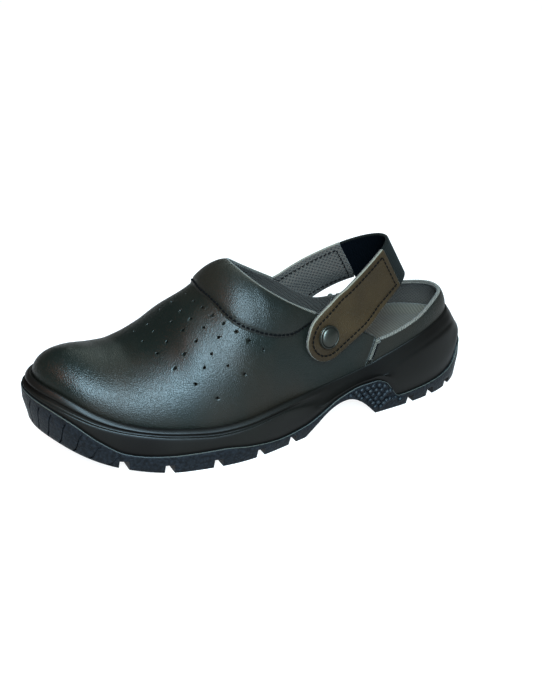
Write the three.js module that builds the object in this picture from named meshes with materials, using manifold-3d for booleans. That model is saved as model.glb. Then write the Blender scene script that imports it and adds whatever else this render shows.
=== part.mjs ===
// A slip-on safety sandal for the left foot: a closed toe with a padded collar, a low heel band and a
// heel strap on two studs, over a two-layer moulded sole. Lengths are in millimetres. +X runs from
// heel to toe, +Y is the little-toe side, +Z is up, and the floor is z = 0.
import * as THREE from 'three';
import { mergeVertices } from 'three/addons/utils/BufferGeometryUtils.js';
import Module from 'manifold-3d';

const wasm = await Module();
wasm.setup();

// Driving sizes
const LENGTH = 290;
const BALL_WIDTH = 112;
const SIDE_HEIGHT = 50;
const BED_HEIGHT = 41;
const INSTEP_HEIGHT = 104;
const TOE_SPRING = 18;
const SPRING_POWER = 1.6;
const ARCH_LIFT = 17;

// Walls, layers and clearances
const CLEARANCE = 0.3;
const UPPER_WALL = 2.4;
const LINING_THICKNESS = 0.8;
const LIP = 6;
const HEEL_LEAN = 3.5;
const INSOLE_THICKNESS = 5;
const BED_DISH = 3;
const OUTSOLE_FLOOR = 7;
const ARCH_FLOOR = 4.5;
const WRAP = 4;
const WRAP_SLOPE = 1.5;
const PROUD = 0.8;

// Rounding of the outsole's lower edge: along the sides, and what heel and toe add to it
const EDGE_INSET = 1.4;
const EDGE_RISE = 2;
const HEEL_EDGE_INSET = 2.6;
const HEEL_EDGE_RISE = 2;
const TOE_EDGE_INSET = 4.6;
const TOE_EDGE_RISE = 5;

// Tread
const GROOVE_WIDTH = 5;
const GROOVE_DEPTH = 6;
const GROOVE_FLARE = 1;
const CHANNEL_WIDTH = 4;
const CHANNEL_DEPTH = 4;
const CHANNEL_SPREAD = 16;

// Strap, studs and gussets
const STRAP_WIDTH = 30;
const STRAP_THICKNESS = 2.6;
const ELASTIC_THICKNESS = 1.8;
const STRAP_TILT = 27.5;
const STRAP_RISE = 60.3;
const STUD_CAP_RADIUS = 7.2;
const STUD_CAP_HEIGHT = 3.2;
const STUD_PIN_RADIUS = 2.2;
const SLIT_WIDTH = 3.4;
const GUSSET_PROUD = 0.6;
const GUSSET_THICKNESS = 2;

// Share of the whole strap that each leather end takes, from its stud
const OUTER_LEATHER = 0.405;
const INNER_LEATHER = 0.315;

// Heights over the top line between which the strap comes free of the upper
const RELEASE_START = 2.5;
const RELEASE_END = 15;

// Where the strap climbs on to the collar pad: up from its middle line, and away from the stud
const CLIMB_START = 3;
const CLIMB_END = 12;
const CLIMB_NEAR = 10;
const CLIMB_FAR = 22;

// Collar pad
const PAD_THICKNESS = 3.4;
const PAD_EDGE = 0.9;
const PAD_MARGIN = 0.6;
const PAD_SEAT = 0.6;

// Places along the shoe, as shares of LENGTH from the heel
const HEEL_BREAST = 0.27;
const ARCH_TOP = 0.352;
const TREAD_BACK = 0.459;
const SPRING_START = 0.74;
const STUD_ALONG = 0.394;
const LOOP_ALONG = 0.184;
const SLIT_TOP_ALONG = 0.259;
const SLIT_FOOT_ALONG = 0.282;
const PAD_TIP_ALONG = 0.407;

// Mesh resolution
const STATIONS = 84;
const FORM_STEPS = 9;

// Outline of the sole: half width and sideways shift are shares of BALL_WIDTH
const OUTLINE = [
  { along: 0, half: 0, shift: -0.005 },
  { along: 0.02, half: 0.15, shift: -0.006 },
  { along: 0.06, half: 0.23, shift: -0.006 },
  { along: 0.12, half: 0.289, shift: -0.005 },
  { along: 0.2, half: 0.324, shift: 0 },
  { along: 0.3, half: 0.337, shift: 0.011 },
  { along: 0.4, half: 0.36, shift: 0.025 },
  { along: 0.5, half: 0.414, shift: 0.032 },
  { along: 0.6, half: 0.47, shift: 0.028 },
  { along: 0.7, half: 0.49, shift: -0.006 },
  { along: 0.8, half: 0.458, shift: -0.033 },
  { along: 0.88, half: 0.388, shift: -0.048 },
  { along: 0.94, half: 0.289, shift: -0.059 },
  { along: 0.98, half: 0.167, shift: -0.079 },
  { along: 1, half: 0, shift: -0.092 },
];

// Side of the sole: its top edge and the parting line between its layers, as shares of SIDE_HEIGHT
const SIDE = [
  { along: 0, edge: 0.99, parting: 0.54 },
  { along: 0.02, edge: 0.985, parting: 0.5 },
  { along: 0.05, edge: 0.97, parting: 0.3 },
  { along: 0.09, edge: 0.94, parting: 0.225 },
  { along: 0.15, edge: 0.875, parting: 0.19 },
  { along: 0.212, edge: 0.78, parting: 0.175 },
  { along: 0.25, edge: 0.72, parting: 0.42 },
  { along: 0.275, edge: 0.675, parting: 0.475 },
  { along: 0.31, edge: 0.635, parting: 0.47 },
  { along: 0.37, edge: 0.585, parting: 0.39 },
  { along: 0.42, edge: 0.56, parting: 0.255 },
  { along: 0.46, edge: 0.55, parting: 0.18 },
  { along: 0.52, edge: 0.535, parting: 0.15 },
  { along: 0.6, edge: 0.5, parting: 0.2 },
  { along: 0.66, edge: 0.49, parting: 0.25 },
  { along: 0.75, edge: 0.535, parting: 0.245 },
  { along: 0.8, edge: 0.58, parting: 0.26 },
  { along: 0.85, edge: 0.65, parting: 0.31 },
  { along: 0.9, edge: 0.76, parting: 0.48 },
  { along: 0.94, edge: 0.88, parting: 0.67 },
  { along: 0.97, edge: 0.96, parting: 0.775 },
  { along: 1, edge: 1, parting: 0.85 },
];

// Middle of the footbed, as a share of BED_HEIGHT
const BED = [
  { along: 0, height: 1 },
  { along: 0.12, height: 0.99 },
  { along: 0.25, height: 0.88 },
  { along: 0.35, height: 0.765 },
  { along: 0.45, height: 0.6 },
  { along: 0.55, height: 0.48 },
  { along: 0.65, height: 0.44 },
  { along: 0.75, height: 0.46 },
  { along: 0.85, height: 0.56 },
  { along: 0.93, height: 0.7 },
  { along: 1, height: 0.85 },
];

// Ridge of the last: height as a share of INSTEP_HEIGHT, lean towards the big toe as a share of
// BALL_WIDTH, and how square the cross-section is (2 is an ellipse)
const RIDGE = [
  { along: 0, height: 0.64, lean: 0, square: 2 },
  { along: 0.1, height: 0.675, lean: 0, square: 2 },
  { along: 0.2, height: 0.78, lean: 0, square: 2.2 },
  { along: 0.4, height: 0.97, lean: -0.02, square: 2.3 },
  { along: 0.52, height: 1, lean: -0.035, square: 2.15 },
  { along: 0.55, height: 0.98, lean: -0.035, square: 2.1 },
  { along: 0.585, height: 0.937, lean: -0.035, square: 2.1 },
  { along: 0.633, height: 0.841, lean: -0.035, square: 2.1 },
  { along: 0.68, height: 0.763, lean: -0.035, square: 2.1 },
  { along: 0.723, height: 0.668, lean: -0.035, square: 2.1 },
  { along: 0.766, height: 0.605, lean: -0.032, square: 2.1 },
  { along: 0.8, height: 0.58, lean: -0.03, square: 2.1 },
  { along: 0.83, height: 0.585, lean: -0.028, square: 2.1 },
  { along: 0.88, height: 0.615, lean: -0.02, square: 2 },
  { along: 0.92, height: 0.625, lean: -0.012, square: 1.9 },
  { along: 1, height: 0.6, lean: 0, square: 1.85 },
];
const TOE_ROUND = 30;
const HEEL_ROUND = 30;

// Top line of the upper, seen from the side, as shares of INSTEP_HEIGHT: it dips lower on the outer side
const TOPLINE = [
  { along: -0.05, outer: 0.62, inner: 0.62 },
  { along: 0.02, outer: 0.6, inner: 0.6 },
  { along: 0.09, outer: 0.57, inner: 0.575 },
  { along: 0.15, outer: 0.52, inner: 0.545 },
  { along: 0.21, outer: 0.475, inner: 0.53 },
  { along: 0.25, outer: 0.458, inner: 0.522 },
  { along: 0.27, outer: 0.485, inner: 0.52 },
  { along: 0.3, outer: 0.54, inner: 0.525 },
  { along: 0.35, outer: 0.625, inner: 0.59 },
  { along: 0.407, outer: 0.71, inner: 0.7 },
  { along: 0.47, outer: 0.81, inner: 0.81 },
  { along: 0.52, outer: 0.905, inner: 0.905 },
  { along: 0.563, outer: 1.005, inner: 1.005 },
  { along: 0.7, outer: 1.36, inner: 1.36 },
];

// Lower seam of the collar pad, from its tip to the ridge: girth is 0 at the sole and 1 on the ridge
const PAD_SEAM = [
  { turn: 0, along: 0.407, girth: 0.389 },
  { turn: 0.15, along: 0.436, girth: 0.35 },
  { turn: 0.27, along: 0.469, girth: 0.325 },
  { turn: 0.4, along: 0.505, girth: 0.345 },
  { turn: 0.6, along: 0.555, girth: 0.44 },
  { turn: 0.8, along: 0.6, girth: 0.62 },
  { turn: 1, along: 0.628, girth: 1 },
];

// Course of the strap in its own plane: reach is a share of the way back to the loop, across a share
// of the way from the inner stud to the outer one
const STRAP_PATH = [
  { reach: 0, across: 0 },
  { reach: 0.28, across: 0.05 },
  { reach: 0.56, across: 0.145 },
  { reach: 0.77, across: 0.26 },
  { reach: 0.92, across: 0.39 },
  { reach: 0.99, across: 0.5 },
  { reach: 0.995, across: 0.585 },
  { reach: 0.92, across: 0.67 },
  { reach: 0.77, across: 0.745 },
  { reach: 0.56, across: 0.825 },
  { reach: 0.28, across: 0.915 },
  { reach: 0, across: 1 },
];

// Cross grooves of the tread
const GROOVES_ALONG = [0.063, 0.121, 0.179, 0.4925, 0.5745, 0.67, 0.769, 0.855];

const clamp = (value, low, high) => Math.min(high, Math.max(low, value));
const radians = (degrees) => (degrees * Math.PI) / 180;
const mix = (from, to, share) => from + (to - from) * share;
const ease = (from, to, value) => {
  const share = clamp((value - from) / (to - from), 0, 1);
  return share * share * (3 - 2 * share);
};

// Bends evenly round both ends: equal steps of turn crowd towards the heel and the toe tip
const turn = (along) => Math.acos(1 - 2 * clamp(along, 0, 1)) / Math.PI;

// A line through a table's rows with no overshoot: slopes are the harmonic mean of the two sides
function flowing(rows, column, place = 'along') {
  const at = rows.map((row) => row[place]);
  const value = rows.map((row) => row[column]);
  const rise = at.slice(1).map((x, i) => (value[i + 1] - value[i]) / (x - at[i]));
  const slope = at.map((_, i) => {
    if (i === 0) return rise[0];
    if (i === rise.length) return rise[rise.length - 1];
    return rise[i - 1] * rise[i] <= 0 ? 0 : (2 * rise[i - 1] * rise[i]) / (rise[i - 1] + rise[i]);
  });
  return (x) => {
    const inside = clamp(x, at[0], at[at.length - 1]);
    let i = 0;
    while (i < at.length - 2 && inside > at[i + 1]) i += 1;
    const width = at[i + 1] - at[i];
    const t = (inside - at[i]) / width;
    const start = (1 + 2 * t) * (1 - t) * (1 - t) * value[i] + t * (1 - t) * (1 - t) * width * slope[i];
    const end = t * t * (3 - 2 * t) * value[i + 1] + t * t * (t - 1) * width * slope[i + 1];
    return start + end;
  };
}

// A line through a table's rows with an even bend everywhere: a natural cubic spline over turn
function bending(rows, column) {
  const at = rows.map((row) => turn(row.along));
  const value = rows.map((row) => row[column]);
  const count = at.length;
  const bend = new Array(count).fill(0);
  const carry = new Array(count).fill(0);
  for (let i = 1; i < count - 1; i += 1) {
    const before = at[i] - at[i - 1];
    const after = at[i + 1] - at[i];
    const share = before / (before + after);
    const pivot = share * carry[i - 1] + 2;
    const jump = (value[i + 1] - value[i]) / after - (value[i] - value[i - 1]) / before;
    carry[i] = (share - 1) / pivot;
    bend[i] = ((6 * jump) / (before + after) - share * bend[i - 1]) / pivot;
  }
  for (let i = count - 2; i > 0; i -= 1) bend[i] += carry[i] * bend[i + 1];
  return (along) => {
    const x = turn(along);
    let i = 0;
    while (i < count - 2 && x > at[i + 1]) i += 1;
    const width = at[i + 1] - at[i];
    const a = (at[i + 1] - x) / width;
    const b = 1 - a;
    const curve = ((a * a * a - a) * bend[i] + (b * b * b - b) * bend[i + 1]) * width * width;
    return a * value[i] + b * value[i + 1] + curve / 6;
  };
}

const halfShare = bending(OUTLINE, 'half');
const shiftShare = bending(OUTLINE, 'shift');
const edgeShare = flowing(SIDE, 'edge');
const partingShare = flowing(SIDE, 'parting');
const bedShare = flowing(BED, 'height');
const ridgeShare = flowing(RIDGE, 'height');
const leanShare = flowing(RIDGE, 'lean');
const squareness = flowing(RIDGE, 'square');
const toplineOuter = flowing(TOPLINE, 'outer');
const toplineInner = flowing(TOPLINE, 'inner');

const shiftAt = (along) => shiftShare(along) * BALL_WIDTH;
const edgeAt = (along) => edgeShare(along) * SIDE_HEIGHT;
const partingAt = (along) => partingShare(along) * SIDE_HEIGHT;
const bedAt = (along) => bedShare(along) * BED_HEIGHT;
const cupFloorAt = (along) => bedAt(along) - INSOLE_THICKNESS;
const ridgeAt = (along) => ridgeShare(along) * INSTEP_HEIGHT;
const toplineAt = (x, side) => (side > 0 ? toplineOuter : toplineInner)(x / LENGTH) * INSTEP_HEIGHT;

// Underside of the sole: flat on the floor, then rising in a soft curve to the toe
const springAt = (along) => {
  const share = clamp((along - SPRING_START) / (1 - SPRING_START), 0, 1);
  return TOE_SPRING * share ** SPRING_POWER;
};

// Arch under the waist: a quarter wave up from the heel breast and one down to the forefoot
const archAt = (along) => {
  if (along <= HEEL_BREAST || along >= TREAD_BACK) return 0;
  const back = (along - HEEL_BREAST) / (ARCH_TOP - HEEL_BREAST);
  const front = (TREAD_BACK - along) / (TREAD_BACK - ARCH_TOP);
  return ARCH_LIFT * Math.sin((Math.PI / 2) * Math.min(back, front, 1));
};
const outsoleFloorAt = (along) => {
  const arch = archAt(along);
  return springAt(along) + Math.max(arch + ARCH_FLOOR, OUTSOLE_FLOOR);
};

// A point on the outline at an angle: 0 is the toe tip, a quarter turn the outer side, half the heel
function outlinePoint(angle) {
  const along = (1 + Math.cos(angle)) / 2;
  const side = Math.sin(angle) >= 0 ? 1 : -1;
  return new THREE.Vector2(along * LENGTH, (shiftShare(along) + side * halfShare(along)) * BALL_WIDTH);
}

// The outline moved outwards by grow at one angle, at a given height
function ringPoint(angle, grow, height) {
  const step = 0.002;
  const ahead = outlinePoint(angle + step);
  const tangent = ahead.sub(outlinePoint(angle - step)).normalize();
  const point = outlinePoint(angle);
  return new THREE.Vector3(point.x + tangent.y * grow, point.y - tangent.x * grow, height);
}

const angles = Array.from({ length: STATIONS }, (_, i) => (2 * Math.PI * i) / STATIONS);
const alongAt = (angle) => (1 + Math.cos(angle)) / 2;
const ring = (growAt, heightAt) => angles.map((angle) => {
  const along = alongAt(angle);
  return ringPoint(angle, growAt(along), heightAt(along));
});

// Collects triangles as plain positions
class Skin {
  constructor() {
    this.positions = [];
  }

  triangle(a, b, c) {
    for (const point of [a, b, c]) this.positions.push(point.x, point.y, point.z);
  }

  quad(a, b, c, d) {
    this.triangle(a, b, c);
    this.triangle(a, c, d);
  }

  // Joins closed rings, each the next one up or inwards
  tower(rings) {
    for (let k = 0; k < rings.length - 1; k += 1) {
      const low = rings[k];
      const high = rings[k + 1];
      for (let i = 0; i < low.length; i += 1) {
        const next = (i + 1) % low.length;
        this.quad(low[i], low[next], high[next], high[i]);
      }
    }
  }

  // Closes a ring with rungs between its two sides, facing up or down
  rungs(points, faceUp) {
    const count = points.length;
    for (let i = 0; i < count / 2; i += 1) {
      const near = points[i];
      const nearNext = points[i + 1];
      const far = points[(count - i) % count];
      const farNext = points[count - i - 1];
      if (faceUp) this.quad(near, nearNext, farNext, far);
      else this.quad(near, far, farNext, nearNext);
    }
  }

  // Joins the rows of an open sheet; rows run along it and the points of a row across it
  sheet(rows, flip = false) {
    for (let i = 0; i < rows.length - 1; i += 1) {
      for (let j = 0; j < rows[i].length - 1; j += 1) {
        const corners = [rows[i][j], rows[i + 1][j], rows[i + 1][j + 1], rows[i][j + 1]];
        if (flip) corners.reverse();
        this.quad(...corners);
      }
    }
  }

  geometry() {
    const geometry = new THREE.BufferGeometry();
    geometry.setAttribute('position', new THREE.Float32BufferAttribute(this.positions, 3));
    return geometry;
  }
}

// A three.js geometry as a solid that can be cut and joined
function toSolid(geometry) {
  const bare = geometry.clone();
  bare.deleteAttribute('normal');
  bare.deleteAttribute('uv');
  const merged = mergeVertices(bare, 1e-4);
  const index = merged.index.array;
  const place = (corner) => {
    const point = new THREE.Vector3().fromBufferAttribute(merged.attributes.position, corner);
    return point;
  };
  const kept = [];
  for (let i = 0; i < index.length; i += 3) {
    const [a, b, c] = [index[i], index[i + 1], index[i + 2]];
    if (a !== b && b !== c && c !== a) kept.push(a, b, c);
  }
  let volume = 0;
  for (let i = 0; i < kept.length; i += 3) {
    volume += place(kept[i]).dot(place(kept[i + 1]).cross(place(kept[i + 2])));
  }
  const triVerts = Uint32Array.from(volume < 0 ? kept.reverse() : kept);
  const vertProperties = Float32Array.from(merged.attributes.position.array);
  return new wasm.Manifold(new wasm.Mesh({ numProp: 3, vertProperties, triVerts }));
}

function toGeometry(solid) {
  const mesh = solid.getMesh();
  const geometry = new THREE.BufferGeometry();
  geometry.setAttribute('position', new THREE.Float32BufferAttribute(mesh.vertProperties, 3));
  geometry.setIndex(new THREE.BufferAttribute(Uint32Array.from(mesh.triVerts), 1));
  return geometry;
}

// A prism whose outline is given from the side, as x and z, and which reaches from low to high in y
function sidePrism(outline, low, high) {
  const shape = new THREE.Shape(outline.map(([x, z]) => new THREE.Vector2(x, z)));
  const geometry = new THREE.ExtrudeGeometry(shape, { depth: high - low, bevelEnabled: false });
  geometry.rotateX(Math.PI / 2);
  geometry.translate(0, high, 0);
  return toSolid(geometry);
}

// Sole layers

// How far the outsole's lower edge is rounded off: most at the toe, some at the heel
const toeRounding = (along) => ease(0.86, 1, along);
const heelRounding = (along) => ease(0.1, 0, along);
const lowerInset = (along) => (
  EDGE_INSET + TOE_EDGE_INSET * toeRounding(along) + HEEL_EDGE_INSET * heelRounding(along)
);
const lowerRise = (along) => (
  EDGE_RISE + TOE_EDGE_RISE * toeRounding(along) + HEEL_EDGE_RISE * heelRounding(along)
);

function outsoleBody() {
  const skin = new Skin();
  const bottom = ring((s) => -lowerInset(s), springAt);
  const rings = [
    bottom,
    ring((s) => -0.25 * lowerInset(s), (s) => springAt(s) + lowerRise(s)),
    ring(() => PROUD, (s) => mix(springAt(s) + lowerRise(s), partingAt(s), 0.6)),
    ring(() => PROUD, partingAt),
    ring(() => -WRAP, (s) => partingAt(s)),
    ring(() => -WRAP - WRAP_SLOPE, (s) => Math.min(outsoleFloorAt(s), partingAt(s))),
  ];
  skin.rungs(bottom, false);
  skin.tower(rings);
  skin.rungs(rings[rings.length - 1], true);
  return toSolid(skin.geometry());
}

function archPrism() {
  const steps = 12;
  const outline = [];
  for (let i = 0; i <= steps; i += 1) {
    const along = mix(HEEL_BREAST, TREAD_BACK, i / steps);
    outline.push([along * LENGTH, archAt(along)]);
  }
  outline.push([TREAD_BACK * LENGTH, -TOE_SPRING]);
  outline.push([HEEL_BREAST * LENGTH, -TOE_SPRING]);
  return sidePrism(outline, -BALL_WIDTH, BALL_WIDTH);
}

function crossGroove(along) {
  const x = along * LENGTH;
  const top = springAt(along) + GROOVE_DEPTH;
  const half = GROOVE_WIDTH / 2;
  const foot = half + GROOVE_FLARE;
  const outline = [[x - foot, -GROOVE_DEPTH], [x + foot, -GROOVE_DEPTH], [x + half, top], [x - half, top]];
  return sidePrism(outline, -BALL_WIDTH, BALL_WIDTH);
}

// A groove along the shoe that follows the underside up to the toe
function longChannel(from, to, offset) {
  const steps = 6;
  const low = [];
  const high = [];
  for (let i = 0; i <= steps; i += 1) {
    const along = mix(from, to, i / steps);
    low.push([along * LENGTH, -TOE_SPRING]);
    high.unshift([along * LENGTH, springAt(along) + CHANNEL_DEPTH]);
  }
  return sidePrism([...low, ...high], offset - CHANNEL_WIDTH / 2, offset + CHANNEL_WIDTH / 2);
}

function outsoleGeometry() {
  let solid = outsoleBody().subtract(archPrism());
  for (const along of GROOVES_ALONG) solid = solid.subtract(crossGroove(along));
  const forefoot = shiftAt(SPRING_START);
  solid = solid.subtract(longChannel(0.49, 0.86, forefoot + CHANNEL_SPREAD));
  solid = solid.subtract(longChannel(0.49, 0.86, forefoot - CHANNEL_SPREAD));
  solid = solid.subtract(longChannel(0.12, 0.24, shiftAt(0.12)));
  return toGeometry(solid);
}

// How far the midsole's lip stands in from the outline: the sole leans forwards round the heel
const lipAt = (along) => LIP + HEEL_LEAN * ease(0.16, 0, along);

// The side of the midsole: at the forefoot a rolled bead, a groove and a ledge, which fade at the waist
const beadShare = (along) => ease(0.36, 0.52, along);
const ledgeDrop = (along) => 3.8 + 2.7 * ease(0.8, 0.98, along);

function midsoleGeometry() {
  const skin = new Skin();
  const bead = (plain, rolled) => (s) => mix(plain, rolled, beadShare(s)) * (lipAt(s) / LIP);
  const below = (plain, rolled) => (s) => edgeAt(s) - mix(plain, rolled * ledgeDrop(s), beadShare(s));
  const bottom = ring(
    () => -WRAP - WRAP_SLOPE - CLEARANCE,
    (s) => Math.min(outsoleFloorAt(s), partingAt(s)) + CLEARANCE,
  );
  const rings = [
    bottom,
    ring(() => -WRAP - CLEARANCE, (s) => partingAt(s) + CLEARANCE),
    ring(() => -0.4, (s) => partingAt(s) + CLEARANCE),
    ring(() => 0, (s) => mix(partingAt(s), edgeAt(s), 0.3)),
    ring(bead(-1.6, -0.5), below(11, 1)),
    ring(bead(-2.8, -2.3), below(7.5, 0.92)),
    ring(bead(-3.6, -2.7), below(5, 0.6)),
    ring(bead(-4.6, -2), below(2.5, 0.3)),
    ring(bead(-5.4, -4.2), below(0.6, -0.08)),
    ring((s) => -lipAt(s), edgeAt),
    ring((s) => -lipAt(s), cupFloorAt),
  ];
  skin.rungs(bottom, false);
  skin.tower(rings);
  skin.rungs(rings[rings.length - 1], true);
  return toGeometry(toSolid(skin.geometry()));
}

function insoleGeometry() {
  const skin = new Skin();
  const inset = (more) => (s) => -lipAt(s) - CLEARANCE - UPPER_WALL - CLEARANCE - more;
  const dish = (share) => (s) => bedAt(s) + BED_DISH * share;
  const bottom = ring(inset(0), (s) => cupFloorAt(s) + CLEARANCE);
  const rings = [
    bottom,
    ring(inset(0), dish(0.8)),
    ring(inset(1.5), dish(1)),
    ring(inset(7), dish(0.35)),
    ring(inset(14), dish(0)),
  ];
  skin.rungs(bottom, false);
  skin.tower(rings);
  skin.rungs(rings[rings.length - 1], true);
  return toGeometry(toSolid(skin.geometry()));
}

// The last

// A point on the last's outer form: from the sole's edge at girth 0, up and over to the ridge at 1.
// Each column is a quarter of a superellipse from the edge to a ridge point, and the ridge points
// draw in from both ends so that heel and toe close in round caps.
const shellInset = (along) => lipAt(along) + CLEARANCE;

function ridgePoint(along, grow) {
  const x = along * LENGTH;
  const ahead = LENGTH - x;
  const fromHeel = Math.hypot(x, HEEL_ROUND) - x;
  const fromToe = Math.hypot(ahead, TOE_ROUND) - ahead;
  const inward = x + fromHeel - fromToe;
  const share = clamp(inward / LENGTH, 0, 1);
  const y = shiftAt(share) + leanShare(share) * BALL_WIDTH;
  return new THREE.Vector3(inward, y, ridgeAt(share) + grow);
}

function formPoint(angle, girth, grow = 0) {
  const along = alongAt(angle);
  const foot = ringPoint(angle, grow - shellInset(along), edgeAt(along));
  const crown = ridgePoint(along, grow);
  const power = 2 / squareness(crown.x / LENGTH);
  const across = Math.cos((girth * Math.PI) / 2) ** power;
  const up = Math.sin((girth * Math.PI) / 2) ** power;
  return new THREE.Vector3(
    mix(crown.x, foot.x, across),
    mix(crown.y, foot.y, across),
    mix(foot.z, crown.z, up),
  );
}

function formSolid(grow, bottomAt) {
  const skin = new Skin();
  const bottom = ring((s) => grow - shellInset(s), bottomAt);
  const rings = [bottom];
  for (let k = 0; k <= FORM_STEPS; k += 1) {
    const girth = k / FORM_STEPS;
    rings.push(angles.map((angle) => formPoint(angle, girth, grow)));
  }
  skin.rungs(bottom, false);
  skin.tower(rings);
  return toSolid(skin.geometry());
}

// The angle of the station whose column passes over x on one side at a given girth
function angleOver(x, girth, side) {
  let low = 0;
  let high = Math.PI;
  for (let i = 0; i < 40; i += 1) {
    const middle = (low + high) / 2;
    if (formPoint(side * middle, girth).x > x) low = middle;
    else high = middle;
  }
  return (side * (low + high)) / 2;
}

// The point of the form, seen from the side at x and z
function formOver(x, z, side, grow = 0) {
  let low = 0;
  let high = 1;
  for (let i = 0; i < 24; i += 1) {
    const girth = (low + high) / 2;
    if (formPoint(angleOver(x, girth, side), girth, grow).z > z) high = girth;
    else low = girth;
  }
  const girth = (low + high) / 2;
  return formPoint(angleOver(x, girth, side), girth, grow);
}

function formNormal(x, z, side) {
  const step = 2;
  const alongX = formOver(x + step, z, side).sub(formOver(x - step, z, side));
  const alongZ = formOver(x, z + step, side).sub(formOver(x, z - step, side));
  return alongZ.cross(alongX).normalize().multiplyScalar(side);
}

function toplinePrism(side) {
  const steps = 44;
  const first = TOPLINE[0].along;
  const last = TOPLINE[TOPLINE.length - 1].along;
  const outline = [];
  for (let i = 0; i <= steps; i += 1) {
    const x = mix(first, last, i / steps) * LENGTH;
    outline.push([x, toplineAt(x, side)]);
  }
  outline.push([last * LENGTH, 2 * INSTEP_HEIGHT]);
  outline.push([first * LENGTH, 2 * INSTEP_HEIGHT]);
  return side > 0 ? sidePrism(outline, 0, BALL_WIDTH) : sidePrism(outline, -BALL_WIDTH, 0);
}

// The slit between vamp and heel band leans forwards as it runs down to the sole
function slitPrism(width, foot, over, side) {
  const top = SLIT_TOP_ALONG * LENGTH;
  const low = SLIT_FOOT_ALONG * LENGTH;
  const base = edgeAt(SLIT_FOOT_ALONG);
  const rim = toplineAt(top, side);
  const centre = (z) => mix(low, top, (z - base) / (rim - base));
  const half = width / 2;
  const outline = [
    [centre(foot) - half, foot],
    [centre(foot) + half, foot],
    [centre(rim + over) + half, rim + over],
    [centre(rim + over) - half, rim + over],
  ];
  return side > 0 ? sidePrism(outline, 0, BALL_WIDTH) : sidePrism(outline, -BALL_WIDTH, 0);
}

// Strap: a U in a tilted plane, from the inner stud (turn 0) round behind the heel to the outer (1)
const tilt = radians(STRAP_TILT);
const strapRun = new THREE.Vector3(-Math.cos(tilt), 0, Math.sin(tilt));
const strapUp = new THREE.Vector3(Math.sin(tilt), 0, Math.cos(tilt));
const studX = STUD_ALONG * LENGTH;
const loopReach = (studX - LOOP_ALONG * LENGTH) / Math.cos(tilt);
const studSide = (side) => formOver(studX, STRAP_RISE, side).y;
const strapSpread = studSide(1) - studSide(-1);
const strapLine = new THREE.CatmullRomCurve3(STRAP_PATH.map((row) => (
  new THREE.Vector3(row.reach * loopReach, studSide(-1) + row.across * strapSpread, 0)
)));
const strapLength = strapLine.getLength();
const leatherLength = (side) => (side > 0 ? OUTER_LEATHER : INNER_LEATHER) * strapLength;

// The strap's inner face at a distance from the stud of one side, and which way it faces
function strapPath(distance, side) {
  const fromStud = clamp(distance / strapLength, 0, 1);
  const share = side > 0 ? 1 - fromStud : fromStud;
  const place = strapLine.getPointAt(share);
  const course = strapLine.getTangentAt(share);
  const beyond = Math.min(distance, 0);
  const out = strapRun.clone().multiplyScalar(course.y);
  out.y = -course.x;
  return { run: place.x + beyond, y: place.y, out };
}

// A point on the strap: against the upper near the stud, and free in its own plane behind it
function strapPoint(distance, across, lift, side) {
  const path = strapPath(distance, side);
  const point = new THREE.Vector3(studX, path.y, STRAP_RISE);
  point.addScaledVector(strapRun, path.run);
  point.addScaledVector(strapUp, across);
  const free = ease(RELEASE_START, RELEASE_END, point.z - toplineAt(point.x, side));
  if (free < 1) point.y = mix(formOver(point.x, point.z, side).y, path.y, free);
  const climb = ease(CLIMB_START, CLIMB_END, across) * ease(CLIMB_FAR, CLIMB_NEAR, Math.abs(distance));
  const overPad = (PAD_SEAT + PAD_EDGE) * climb;
  return point.addScaledVector(path.out, CLEARANCE + overPad + lift);
}

function ribbonGeometry(distances, widthAt, thickness, side, lift = 0) {
  const columns = 4;
  const rowAt = (height) => distances.map((distance) => {
    const row = [];
    for (let j = 0; j <= columns; j += 1) {
      const across = widthAt(distance) * (j / columns - 0.5);
      row.push(strapPoint(distance, across, height, side));
    }
    return row;
  });
  const inner = rowAt(lift);
  const outer = rowAt(lift + thickness);
  const skin = new Skin();
  skin.sheet(outer);
  skin.sheet(inner, true);
  const last = inner.length - 1;
  skin.sheet([inner[0], outer[0]]);
  skin.sheet([outer[last], inner[last]]);
  skin.sheet([inner.map((row) => row[0]), outer.map((row) => row[0])], true);
  skin.sheet([inner.map((row) => row[columns]), outer.map((row) => row[columns])]);
  return skin.geometry();
}

const strapWidthAt = (distance) => {
  if (distance >= 0) return STRAP_WIDTH;
  const half = STRAP_WIDTH / 2;
  return 2 * Math.sqrt(Math.max(half * half - distance * distance, 1));
};

function strapStations(side) {
  const half = STRAP_WIDTH / 2;
  const round = [0, 18, 36, 54, 72].map((angle) => -half * Math.cos(radians(angle)));
  const steps = 7;
  const straight = Array.from({ length: steps + 1 }, (_, i) => (leatherLength(side) * i) / steps);
  return [...round, ...straight];
}

const studPlace = (side) => formOver(studX, STRAP_RISE, side);
const studAxis = (side) => formNormal(studX, STRAP_RISE, side);

function alongAxis(geometry, side) {
  const turnTo = new THREE.Quaternion().setFromUnitVectors(new THREE.Vector3(0, 1, 0), studAxis(side));
  const place = studPlace(side);
  geometry.applyQuaternion(turnTo);
  geometry.translate(place.x, place.y, place.z);
  return geometry;
}

// The hole for a stud's pin stops short of the lining
function studHole(side) {
  const length = STRAP_WIDTH;
  const radius = STUD_PIN_RADIUS + CLEARANCE;
  const bore = new THREE.CylinderGeometry(radius, radius, length, 16);
  bore.translate(0, length / 2 - UPPER_WALL + LINING_THICKNESS, 0);
  return toSolid(alongAxis(bore, side));
}

function strapGeometry(side) {
  const ribbon = ribbonGeometry(strapStations(side), strapWidthAt, STRAP_THICKNESS, side);
  return toGeometry(toSolid(ribbon).subtract(studHole(side)));
}

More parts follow.
